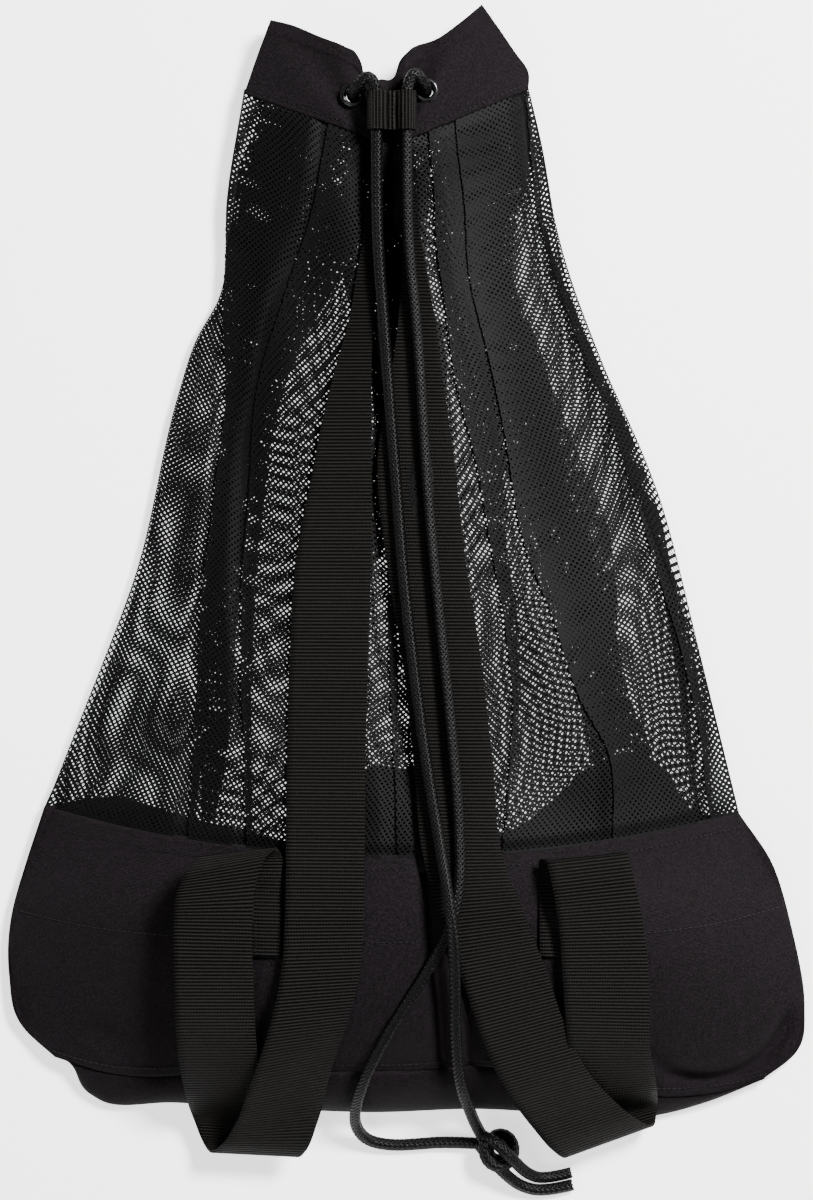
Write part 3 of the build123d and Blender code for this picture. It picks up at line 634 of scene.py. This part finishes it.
def eyelet(name, x, y, z, thickness):
    """A rolled ring over a barrel, with the same ring below as its washer."""
    rings = []
    for height in (z + thickness / 2, z - thickness / 2):
        bpy.ops.object.select_all(action="DESELECT")
        bpy.ops.mesh.primitive_torus_add(
            location=(x, y, height), major_radius=(BORE + FLANGE) / 2, minor_radius=(FLANGE - BORE) / 2,
            major_segments=64, minor_segments=16)
        rings.append(bpy.context.object)
        edit_all(rings[-1], bpy.ops.transform.resize, value=(1, 1, FLANGE_FLATNESS),
                 center_override=(x, y, height))
    bpy.ops.mesh.primitive_cylinder_add(
        vertices=64, radius=BARREL, depth=thickness, end_fill_type="NOTHING", location=(x, y, z))
    barrel = bpy.context.object
    thicken(barrel, BARREL - BORE, -1)
    for ring in rings:
        ring.select_set(True)
    bpy.ops.object.join()
    bpy.ops.object.transform_apply(location=True)
    barrel.name = name
    smooth(barrel)
    return barrel


def at(surface, x, y):
    """Height of a surface at one place."""
    return float(surface(np.array([x]), np.array([y]))[0])


eyelets = {"back": [], "front": []}
for word, (x, y) in zip(("left", "right"), EYELETS):
    eyelets["back"].append(eyelet(f"eyelet_back_{word}", x, y, at(bag_top, x, y) + 0.0002, 0.0034))
    eyelets["front"].append(eyelet(f"eyelet_front_{word}", x, y, at(bag_under, x, y) + 0.0006, 0.0026))
for side, rings in eyelets.items():
    for ring in rings:
        finish_cloth(ring, black_metal, "bag", "eyelet_metal", f"collar_eyelets_{side}")

# ---------------------------------------------------------------- drawcord
# One round cord of black braided polyester, 8 mm thick. Both ends come out of the collar's upper
# eyelets, run side by side through the keeper and lie down the bag to the knot that joins them.
CORD, CORE = 0.008, 0.0062
CORD_RUNS = {
    "drawcord_left_run": [
        (-0.0345, 0.3115, 0.028), (-0.0345, 0.3125, 0.048), (-0.025, 0.3235, 0.0515),
        (-0.0195, 0.3165, 0.0505), (-0.019, 0.300, 0.050), (-0.019, 0.220, 0.050),
        (-0.0145, 0.165, 0.0508), (-0.0105, 0.110, 0.0546), (-0.006, 0.055, 0.0586),
        (-0.002, 0.0, 0.0637), (0.005, -0.060, 0.0681), (0.013, -0.120, 0.0750), (0.0205, -0.165, 0.0812),
        (0.026, -0.197, 0.0935), (0.0295, -0.225, 0.0945), (0.031, -0.255, 0.0830),
        (0.031, -0.290, 0.0690), (0.034, -0.321, 0.052), (0.0395, -0.338, 0.0345), (0.045, -0.353, 0.019),
        (0.050, -0.362, 0.0105)],
    "drawcord_right_run": [
        (0.0125, 0.3145, 0.028), (0.0125, 0.3155, 0.048), (0.0055, 0.3255, 0.0515),
        (0.0005, 0.3175, 0.0505), (0.0, 0.300, 0.050), (0.0, 0.220, 0.050), (0.006, 0.165, 0.0507),
        (0.0095, 0.110, 0.0545), (0.013, 0.055, 0.0583), (0.018, 0.0, 0.0631), (0.0245, -0.060, 0.0672),
        (0.0305, -0.120, 0.0722), (0.0335, -0.165, 0.0765), (0.0335, -0.195, 0.0815),
        (0.028, -0.218, 0.0840), (0.017, -0.241, 0.0765), (-0.003, -0.273, 0.0690),
        (-0.020, -0.302, 0.0625), (-0.0285, -0.323, 0.050), (-0.033, -0.339, 0.034),
        (-0.0335, -0.353, 0.0175), (-0.026, -0.364, 0.0065), (-0.010, -0.3675, 0.0042),
        (0.008, -0.3665, 0.0042), (0.025, -0.365, 0.0042), (0.0485, -0.366, 0.0057)],
    "drawcord_gather_run": [
        (-0.0345, 0.3115, 0.028), (-0.0345, 0.3120, 0.0046), (0.0125, 0.3140, 0.0046),
        (0.0125, 0.3145, 0.028)],
}


def smooth_line(points):
    """The points that a smooth spline through the route's corners passes, with its ends."""
    route = bpy.data.curves.new("route", "CURVE")
    route.dimensions = "3D"
    spline = route.splines.new("NURBS")
    spline.points.add(len(points) - 1)
    spline.points.foreach_set("co", np.array([(*point, 1) for point in points]).ravel())
    spline.order_u = 3
    spline.use_endpoint_u = True
    spline.resolution_u = 24
    holder = bpy.data.objects.new("route", route)
    bpy.context.scene.collection.objects.link(holder)
    line = bpy.data.meshes.new_from_object(holder.evaluated_get(bpy.context.evaluated_depsgraph_get()))
    path = np.empty(len(line.vertices) * 3)
    line.vertices.foreach_get("co", path)
    bpy.data.objects.remove(holder)
    return path.reshape(-1, 3)


def evenly(path, step):
    """The same line with its points a fixed step apart, and the length."""
    run = np.concatenate([[0], np.cumsum(np.linalg.norm(np.diff(path, axis=0), axis=1))])
    count = max(int(run[-1] / step), 8)
    at = np.linspace(0, run[-1], count + 1)
    return np.stack([np.interp(at, run, path[:, axis]) for axis in range(3)], 1), run[-1]


def frames(path):
    """Along, side and up directions on a line, carried without twist."""
    along = np.gradient(path, axis=0)
    along /= np.linalg.norm(along, axis=1)[:, None]
    side = np.cross(along[0], (0, 0, 1.0))
    if np.linalg.norm(side) < 0.1:
        side = np.cross(along[0], (0, 1.0, 0))
    sides = []
    for direction in along:
        side = side - direction * side.dot(direction)
        side = side / np.linalg.norm(side)
        sides.append(side)
    sides = np.array(sides)
    return along, sides, np.cross(along, sides)


def tube(lines, width, height, facing, sides):
    """Closed strands along the given lines, flat to the way they face. Vertices and faces."""
    vertices, faces = [], []
    angle = np.linspace(0, 2 * np.pi, sides, endpoint=False)
    for line, out in zip(lines, facing):
        along = np.gradient(line, axis=0)
        along /= np.linalg.norm(along, axis=1)[:, None]
        across = np.cross(along, out)
        across /= np.linalg.norm(across, axis=1)[:, None]
        up = np.cross(across, along)
        ring = (line[:, None, :] + across[:, None, :] * (width / 2 * np.cos(angle))[None, :, None]
                + up[:, None, :] * (height / 2 * np.sin(angle))[None, :, None])
        index = sum(len(part) for part in vertices) + np.arange(len(line) * sides).reshape(-1, sides)
        vertices.append(ring.reshape(-1, 3))
        here, there = index[:-1], index[1:]
        quads = np.stack([here, np.roll(here, -1, 1), np.roll(there, -1, 1), there], -1).reshape(-1, 4)
        faces += quads.tolist()
        faces += [index[0][::-1].tolist(), index[-1].tolist()]
    return np.concatenate(vertices), faces


def build(name, vertices, faces):
    """A smooth piece from its vertices and faces, all turned outwards."""
    mesh = bpy.data.meshes.new(name)
    mesh.from_pydata(vertices.tolist(), [], faces)
    mesh.update()
    piece = bpy.data.objects.new(name, mesh)
    bpy.context.scene.collection.objects.link(piece)
    edit_all(piece, bpy.ops.mesh.normals_make_consistent, inside=False)
    bpy.ops.object.shade_smooth()
    return piece


BRAID_STRANDS = 16
BRAID_PITCH = 0.026
BRAID_STEP = 0.0013
YARN_WIDTH, YARN_HEIGHT = 0.0021, 0.00105
YARN_DEPTH, YARN_WEAVE = 0.00075, 0.00028


def braid(name, path):
    """Sixteen flat yarn bundles round a line, half of them each way, two over and two under."""
    path, _ = evenly(path, BRAID_STEP)
    _, side, up = frames(path)
    run = np.arange(len(path)) * BRAID_STEP
    lines, facing = [], []
    for strand in range(BRAID_STRANDS):
        way = 1 if strand % 2 else -1
        turn = way * 2 * np.pi * run / BRAID_PITCH + 2 * np.pi * (strand // 2) / (BRAID_STRANDS / 2)
        crossing = BRAID_STRANDS / 4 * turn * way + way * np.pi / 2
        out = side * np.cos(turn)[:, None] + up * np.sin(turn)[:, None]
        reach = CORD / 2 - YARN_DEPTH + way * YARN_WEAVE * np.sin(crossing)
        lines.append(path + out * reach[:, None])
        facing.append(out)
    vertices, faces = tube(lines, YARN_WIDTH, YARN_HEIGHT, facing, 5)
    core, core_faces = tube([path], CORE, CORE, [side], 10)
    faces += [[index + len(vertices) for index in face] for face in core_faces]
    return build(name, np.concatenate([vertices, core]), faces)


cord_yarn = new_finish("braided_cord", {"Roughness": 0.42, "Specular IOR Level": 0.11})
yarn_fibre = fibres(cord_yarn, 1600.0, 4.0, object_place(cord_yarn))
colour_by_pattern(cord_yarn, yarn_fibre, 0.35, (0.0004, 0.0004, 0.0004), 0.7, (0.0032, 0.0031, 0.0031))
raise_pattern(cord_yarn, yarn_fibre, 0.5, 0.0002)

cord_lines = {name: smooth_line(points) for name, points in CORD_RUNS.items()}
cords = {}
for name, line in cord_lines.items():
    cords[name] = braid(name.replace("drawcord", "cord"), line)
    finish_cloth(cords[name], cord_yarn, "bag", "braided_cord", name)

# ---------------------------------------------------------------- knot
# Both ends of the cord are tied together in one knot, wound and pulled tight into a lump.
# Two short tails, cut and melted, lie side by side beyond it.
KNOT = np.array((0.0605, -0.3685, 0.0060))
KNOT_TURNS = 1.75
KNOT_OUTER, KNOT_INNER = 0.0104, 0.0042
KNOT_RISE = 0.0118
wound = np.linspace(0, 1, 240)
knot_angle = 2.7 + 2 * np.pi * KNOT_TURNS * (1 - wound)
knot_reach = KNOT_INNER + (KNOT_OUTER - KNOT_INNER) * wound**0.7
knot = braid("cord_knot", KNOT + np.stack([
    knot_reach * np.cos(knot_angle), 1.15 * knot_reach * np.sin(knot_angle), KNOT_RISE * wound], 1))
TAILS = {
    "cord_tail_upper": [(0.0505, -0.3600, 0.0165), (0.057, -0.3625, 0.0220), (0.067, -0.3725, 0.0215),
                        (0.078, -0.3850, 0.0110), (0.090, -0.3895, 0.0046), (0.1068, -0.3850, 0.0044)],
    "cord_tail_lower": [(0.047, -0.366, 0.0110), (0.053, -0.373, 0.0160), (0.062, -0.383, 0.0140),
                        (0.074, -0.394, 0.0060), (0.090, -0.3975, 0.0043), (0.1078, -0.3930, 0.0043)],
}
tails = [braid(name, smooth_line(points)) for name, points in TAILS.items()]
for piece in (knot, *tails):
    finish_cloth(piece, cord_yarn, "bag", "braided_cord", "drawcord_knot")

for name, far_end, lies, with_pieces in (
    ("drawcord_left_run", "knot", "loose", [knot, *tails]),
    ("drawcord_right_run", "knot", "loose", []),
    ("drawcord_gather_run", "object", "taut", []),
):
    line = cord_lines[name]

# ---------------------------------------------------------------- shoulder straps
# Each strap is one length of 50 mm ribbed polypropylene webbing. It leaves the neck twisted on edge,
# lies flat down the mesh, loops past the bottom and comes back up, where its end is sewn to the base.
WEBBING_WIDTH, WEBBING = 0.050, 0.0019
LEFT_HINGE = (-0.212, 0.07878)
RIGHT_HINGE = (-0.255, 0.07156)


def on_bag(left, right, y, rise=0.0030):
    """Bar across a strap that lies on the bag, with the bag's slope."""
    z = at(bag_top, (left + right) / 2, y) + rise
    tilt = (at(bag_top, right, y) - at(bag_top, left, y)) / 2
    return ((left, y, z - tilt), (right, y, z + tilt))


def bar(left, right, y, z, skew=0.0):
    """Free bar: skew moves its right end towards the mouth."""
    return ((left, y - skew / 2, z), (right, y + skew / 2, z))


LEFT_BARS = [
    on_bag(-0.0225, -0.0150, 0.290, 0.002), on_bag(-0.0255, -0.0165, 0.236, 0.003),
    on_bag(-0.0315, -0.0190, 0.198), on_bag(-0.0370, -0.0210, 0.166), on_bag(-0.0460, -0.0225, 0.134),
    on_bag(-0.0525, -0.0225, 0.108), on_bag(-0.061, -0.0225, 0.065), on_bag(-0.0705, -0.0225, 0.013),
    on_bag(-0.0745, -0.0245, -0.050), on_bag(-0.076, -0.026, -0.110),
    on_bag(-0.0765, -0.0265, -0.165, 0.0058), bar(-0.077, -0.027, -0.212, 0.0788),
    bar(-0.079, -0.029, -0.244, 0.0755, 0.002), bar(-0.0875, -0.037, -0.282, 0.070, 0.006),
    bar(-0.099, -0.0475, -0.315, 0.057, 0.010), bar(-0.1105, -0.0565, -0.348, 0.0395, 0.005),
    bar(-0.120, -0.0645, -0.3655, 0.0305, -0.002), bar(-0.126, -0.0700, -0.3702, 0.0240, -0.003),
    bar(-0.131, -0.0765, -0.3665, 0.0170, -0.004), bar(-0.137, -0.087, -0.351, 0.0165, -0.002),
    bar(-0.142, -0.092, -0.328, 0.040), bar(-0.1455, -0.095, -0.300, 0.060),
    bar(-0.147, -0.097, -0.252, 0.0765), bar(-0.147, -0.097, -0.212, 0.0800),
    bar(-0.1445, -0.0945, -0.192, 0.0822, 0.006), bar(-0.138, -0.088, -0.179, 0.0815, 0.009),
    bar(-0.132, -0.082, -0.1728, 0.0775, 0.006)]
LEFT_END = [
    bar(-0.132, -0.082, -0.1728, 0.0775, 0.006), bar(-0.1295, -0.0795, -0.1748, 0.0725, 0.002),
    on_bag(-0.129, -0.079, -0.189, 0.0024), on_bag(-0.129, -0.079, -0.216, 0.0024),
    on_bag(-0.129, -0.079, -0.239, 0.0024)]
RIGHT_BARS = [
    on_bag(-0.0040, 0.0035, 0.290, 0.002), on_bag(-0.0035, 0.0060, 0.240, 0.003),
    on_bag(-0.0030, 0.0115, 0.205), on_bag(-0.0055, 0.0185, 0.165), on_bag(-0.0120, 0.0245, 0.120),
    on_bag(-0.0185, 0.0302, 0.079), on_bag(-0.013, 0.0375, 0.013), on_bag(-0.0025, 0.0475, -0.051),
    on_bag(0.005, 0.055, -0.120), on_bag(0.010, 0.0605, -0.174, 0.0055),
    bar(0.023, 0.0745, -0.215, 0.0790, 0.006), bar(0.0375, 0.089, -0.255, 0.0716, 0.012),
    bar(0.0475, 0.0985, -0.284, 0.0640, 0.014), bar(0.063, 0.114, -0.318, 0.053, 0.014),
    bar(0.081, 0.134, -0.343, 0.0400, 0.016), bar(0.0935, 0.148, -0.3565, 0.0325, 0.019),
    bar(0.1020, 0.157, -0.3620, 0.0245, 0.020), bar(0.106, 0.1605, -0.3605, 0.0175, 0.019),
    bar(0.109, 0.1620, -0.349, 0.0150, 0.014), bar(0.109, 0.1605, -0.328, 0.0385, 0.006),
    bar(0.1035, 0.1555, -0.302, 0.0560), bar(0.099, 0.1535, -0.255, 0.0716),
    bar(0.0965, 0.1500, -0.222, 0.0785, 0.002), bar(0.092, 0.1435, -0.192, 0.0838, 0.006),
    bar(0.0885, 0.1395, -0.1755, 0.0800, 0.006)]
RIGHT_END = [
    bar(0.0885, 0.1395, -0.1755, 0.0800, 0.006), bar(0.085, 0.135, -0.1765, 0.0735, 0.002),
    on_bag(0.084, 0.134, -0.189, 0.0024), on_bag(0.084, 0.134, -0.216, 0.0024),
    on_bag(0.084, 0.134, -0.239, 0.0024)]


# Black webbing: a rib across it at each weft, with the warp yarns showing on each rib. Its colour runs from
# near black between the ribs, painted shade in the grooves, to the yarn's own black on the rib tops.
webbing = new_finish("ribbed_webbing", {"Roughness": 0.55, "Specular IOR Level": 0.05})
cut_place = thread_place(webbing, (1, 1))
warp_yarns = bands(webbing, "X", 330.0, cut_place, 0.6)
ribs_and_groove_shade = share_added(webbing, 0.35, warp_yarns, bands(webbing, "Y", 140.0, cut_place))
# The near black in the grooves is painted shade; the same pattern also raises the real ribs.
colour_by_pattern(webbing, ribs_and_groove_shade, 0.45, (0.0002, 0.0002, 0.0002), 1.0, (0.0105, 0.0093, 0.0082))
raise_pattern(webbing, ribs_and_groove_shade, 1.0, 0.0006)


def strap(name, bars, rows):
    """Webbing through its bars, its length worked out so that the ribs keep their real pitch."""
    middles = np.array([(np.array(left) + np.array(right)) / 2 for left, right in bars])
    run = np.concatenate([[0], np.cumsum(np.linalg.norm(np.diff(middles, axis=0), axis=1))])
    lefts = [(place, left) for place, (left, _) in zip(run / run[-1], bars)]
    rights = [(place, right) for place, (_, right) in zip(run / run[-1], bars)]

    def place(across, along):
        left, right = flow(lefts, along), flow(rights, along)
        point = left + (right - left) * across[:, None]
        return point[:, 0], point[:, 1], point[:, 2]

    piece = lay_cloth(name, 10, rows, (WEBBING_WIDTH, float(run[-1])), place)
    thicken(piece, WEBBING)
    smooth(piece)
    return piece


left_strap = strap("left_strap_webbing", LEFT_BARS, 300)
right_strap = strap("right_strap_webbing", RIGHT_BARS, 300)
for piece, side, (y, z) in ((left_strap, "left", LEFT_HINGE), (right_strap, "right", RIGHT_HINGE)):
    piece.data.materials.clear()
    piece.data.materials.append(webbing)
    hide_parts(f"{side}_strap", f"{side}_strap_loop")
    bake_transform(piece)
for side, bars in (("left", LEFT_END), ("right", RIGHT_END)):
    finish_cloth(strap(f"{side}_strap_sewn_end", bars, 40), webbing, "bag", "webbing", f"{side}_strap_end")

# ---------------------------------------------------------------- cord keeper
# A short piece of the webbing, wrapped round both cords and sewn through between them.
# It slides along the cords and holds the mouth closed.
KEEPER_Z = 0.050
KEEPER_Y = (0.2875, 0.3125)
LOBES = (-0.019, 0.0)
LOBE_RADIUS = 0.0064
KEEPER_CUT = (0.025, 0.080)
KEEPER_CLOTH = 0.0017


def keeper_profile(along, around):
    """Round the pair of cords: over from left to right, and back underneath."""
    over = around < 0.5
    share = np.where(over, around * 2, 2 - around * 2)
    middle = (LOBES[0] + LOBES[1]) / 2
    reach = (LOBES[1] - LOBES[0]) / 2 + LOBE_RADIUS
    x = middle - reach * np.cos(share * np.pi)
    radius = LOBE_RADIUS * (1 - 0.05 * np.cos(along * 2 * np.pi))
    nearest = np.where(x < middle, LOBES[0], LOBES[1])
    lobe = np.sqrt(np.clip(radius**2 - (x - nearest) ** 2, 0, None))
    height = np.hypot(lobe, 0.0012) * ease(reach, reach - 0.0006, np.abs(x - middle))
    y = KEEPER_Y[0] + (KEEPER_Y[1] - KEEPER_Y[0]) * along
    return x, y, KEEPER_Z + np.where(over, height, -height)


keeper = lay_cloth("cord_keeper_webbing", 24, 96, KEEPER_CUT, keeper_profile)
edit_all(keeper, bpy.ops.mesh.remove_doubles, threshold=0.00004)
edit_all(keeper, bpy.ops.mesh.normals_make_consistent, inside=False)
thicken(keeper, KEEPER_CLOTH, -1)
smooth(keeper)
finish_cloth(keeper, webbing, "keeper", "webbing", "cord_keeper")

# ---------------------------------------------------------------- stitching
# Thick black thread: two rows through the keeper, a boxed cross on each sewn strap end,
# and rows along the base and along the collar's seam.
THREAD = 0.0008
STITCH, STITCH_GAP, SEAM_GAP = 0.0026, 0.0005, 0.0009
KEEPER_ROWS = (-0.0106, -0.0084)
ROW_INSET, ROW_HEIGHT = 0.0012, 0.0022
thread = new_finish("sewing_thread", {"Roughness": 0.5, "Specular IOR Level": 0.15})
colour_by_pattern(thread, bands(thread, "DIAGONAL", 900.0, object_place(thread)), 0, (0.0012, 0.0010, 0.0012),
    1, (0.0060, 0.0052, 0.0056))


def sew(name, lines, stitch, gap, body, *nodes):
    """Rows of stitches along the given lines of points, each stitch a small rounded bar."""
    bpy.ops.object.select_all(action="DESELECT")
    bpy.ops.mesh.primitive_uv_sphere_add(segments=6, ring_count=5, radius=0.5)
    one = bpy.context.object
    form = np.array([tuple(vertex.co) for vertex in one.data.vertices])
    loops = [list(face.vertices) for face in one.data.polygons]
    bpy.data.objects.remove(one)
    vertices, faces = [], []
    for line in lines:
        points, _ = evenly(np.array(line, float), stitch + gap)
        for start, end in zip(points, points[1:]):
            along = (end - start) / np.linalg.norm(end - start)
            side = np.cross(along, (0, 0, 1.0))
            side /= np.linalg.norm(side)
            up = np.cross(side, along)
            bar_form = form[:, 2:] * stitch * along + THREAD * (form[:, :1] * side + form[:, 1:2] * up)
            faces += [[index + len(vertices) * len(form) for index in face] for face in loops]
            vertices.append((start + end) / 2 + bar_form)
    finish_cloth(build(name, np.concatenate(vertices), faces), thread, body, "thread", *nodes)


row_ends = (KEEPER_Y[0] + ROW_INSET, KEEPER_Y[1] - ROW_INSET)
keeper_stitches = [[(x, y, KEEPER_Z + ROW_HEIGHT) for y in row_ends] for x in KEEPER_ROWS]
sew("keeper_thread", keeper_stitches, STITCH, STITCH_GAP, "keeper", "keeper_stitching")
BOX_SIDE = 0.017
BOX_LIFT = 0.0037


def box_stitch(middle_x, middle_y):
    """A square and its two diagonals, on the webbing that lies on the bag."""
    def point(dx, dy):
        x, y = middle_x + dx * BOX_SIDE / 2, middle_y + dy * BOX_SIDE / 2
        return (x, y, at(bag_top, x, y) + BOX_LIFT)

    corners = [point(-1, -1), point(1, -1), point(1, 1), point(-1, 1)]
    return [[a, b] for a, b in zip(corners, corners[1:] + corners[:1])] + [
        [corners[0], corners[2]], [corners[1], corners[3]]]


sew("strap_end_thread", box_stitch(-0.104, -0.227) + box_stitch(0.109, -0.227), STITCH, STITCH_GAP, "bag",
    "strap_end_stitching")


def seam_row(place, share, count):
    """A line across a wall or the collar, at a share of its height."""
    across = np.linspace(0.01, 0.99, count)
    x, y, z = place(across, np.full(count, share))
    return np.stack([x, y, z + 0.0003], 1)


base_rows = [seam_row(back_wall, share, 90) for share in (0.955, 0.68, 0.045)]
sew("base_seam_thread", base_rows, 0.0027, SEAM_GAP, "bag")
sew("collar_seam_thread", [seam_row(back_collar, 0.07, 60)], 0.0025, SEAM_GAP, "bag")

# ---------------------------------------------------------------- bindings inside the seams
# Each seam is closed inside the bag with a folded tape over the cut edges. It is out of sight
# but for a thin edge behind the net.
TAPE_WIDTH = 0.011
TAPE_CLOTH = 0.0008
tape_cloth = black_cloth("binding_tape", (0.0025, 0.0022, 0.0025), (0.010, 0.009, 0.0095), 0.7,
                         1100, 0.0002)


def tape(name, node, upper, lower, ends, drop=0.0026):
    """A band round the inside of the bag: along the upper seam and back along the lower one."""
    def place(around, along):
        over = around < 0.5
        share = np.where(over, around * 2, 2 - around * 2)
        x = ends[0] + (ends[1] - ends[0]) * (0.5 - 0.5 * np.cos(share * np.pi))
        y = np.where(over, upper(x), lower(x)) + (along - 0.5) * TAPE_WIDTH
        high = np.maximum(bag_top(x, y) - drop, bag_under(x, y) + 0.003)
        return x, y, np.where(over, high, bag_under(x, y) + 0.0018)

    piece = lay_cloth(name, 240, 3, (0.9, TAPE_WIDTH), place)
    thicken(piece, TAPE_CLOTH)
    smooth(piece)
    finish_cloth(piece, tape_cloth, "bag", "binding_tape", node)


def wall_seam(x):
    """Where both walls are sewn to the bottom."""
    return flow([stop for _, stop in WALL_SEAM], x)


tape("mesh_seam_tape", "mesh_seam_binding", lambda x: seam_y(x) - 0.004, lambda x: front_seam(x) - 0.004,
     (-0.226, 0.208))
tape("wall_seam_tape", "wall_seam_binding", lambda x: wall_seam(x) + 0.006, lambda x: wall_seam(x) + 0.006,
     (-0.210, 0.205), 0.012)
tape("neck_seam_tape", "neck_seam_binding", lambda x: neck_seam(x) + 0.003, lambda x: neck_seam(x) + 0.003,
     (-0.098, 0.073))

# ---------------------------------------------------------------- floor, light and camera
# A plain pale floor, one soft lamp beyond the mouth on the right and a weaker one opposite,
# and a camera straight above the bag.
FLOOR_SIZE = 60
bpy.ops.object.select_all(action="DESELECT")
bpy.ops.mesh.primitive_plane_add(size=FLOOR_SIZE)
floor = bpy.context.object
floor.name = "floor"
floor.data.materials.append(new_finish("floor_paint", {
    "Base Color": (0.93, 0.93, 0.93, 1), "Roughness": 0.9,
    "Emission Color": (1, 1, 1, 1), "Emission Strength": 1.5}))

for name, place, size, power in (
    ("key", (1.35, 1.25, 2.3), 0.7, 330),
    ("fill", (-1.2, -1.5, 2.2), 1.6, 42),
):
    bpy.ops.object.light_add(type="AREA", location=place)
    lamp = bpy.context.object
    lamp.name = name
    lamp.data.size = size
    lamp.data.energy = power
    lamp.rotation_euler = (-lamp.location).to_track_quat("-Z", "Y").to_euler()

world = bpy.data.worlds.new("studio")
bpy.context.scene.world = world
world.use_nodes = True
sky = world.node_tree.nodes["Background"]
sky.inputs["Color"].default_value = (1, 1, 1, 1)
sky.inputs["Strength"].default_value = 0.14

FRAME_HEIGHT = 0.768
SENSOR = 24
CAMERA_HEIGHT = 2.6
BAG_HEIGHT = 0.045
bpy.ops.object.camera_add(location=(0.0, -0.0128, CAMERA_HEIGHT), rotation=(0, 0, 0))
camera = bpy.context.object
camera.data.sensor_fit = "VERTICAL"
camera.data.sensor_height = SENSOR
camera.data.lens = SENSOR * (CAMERA_HEIGHT - BAG_HEIGHT) / FRAME_HEIGHT
bpy.context.scene.camera = camera
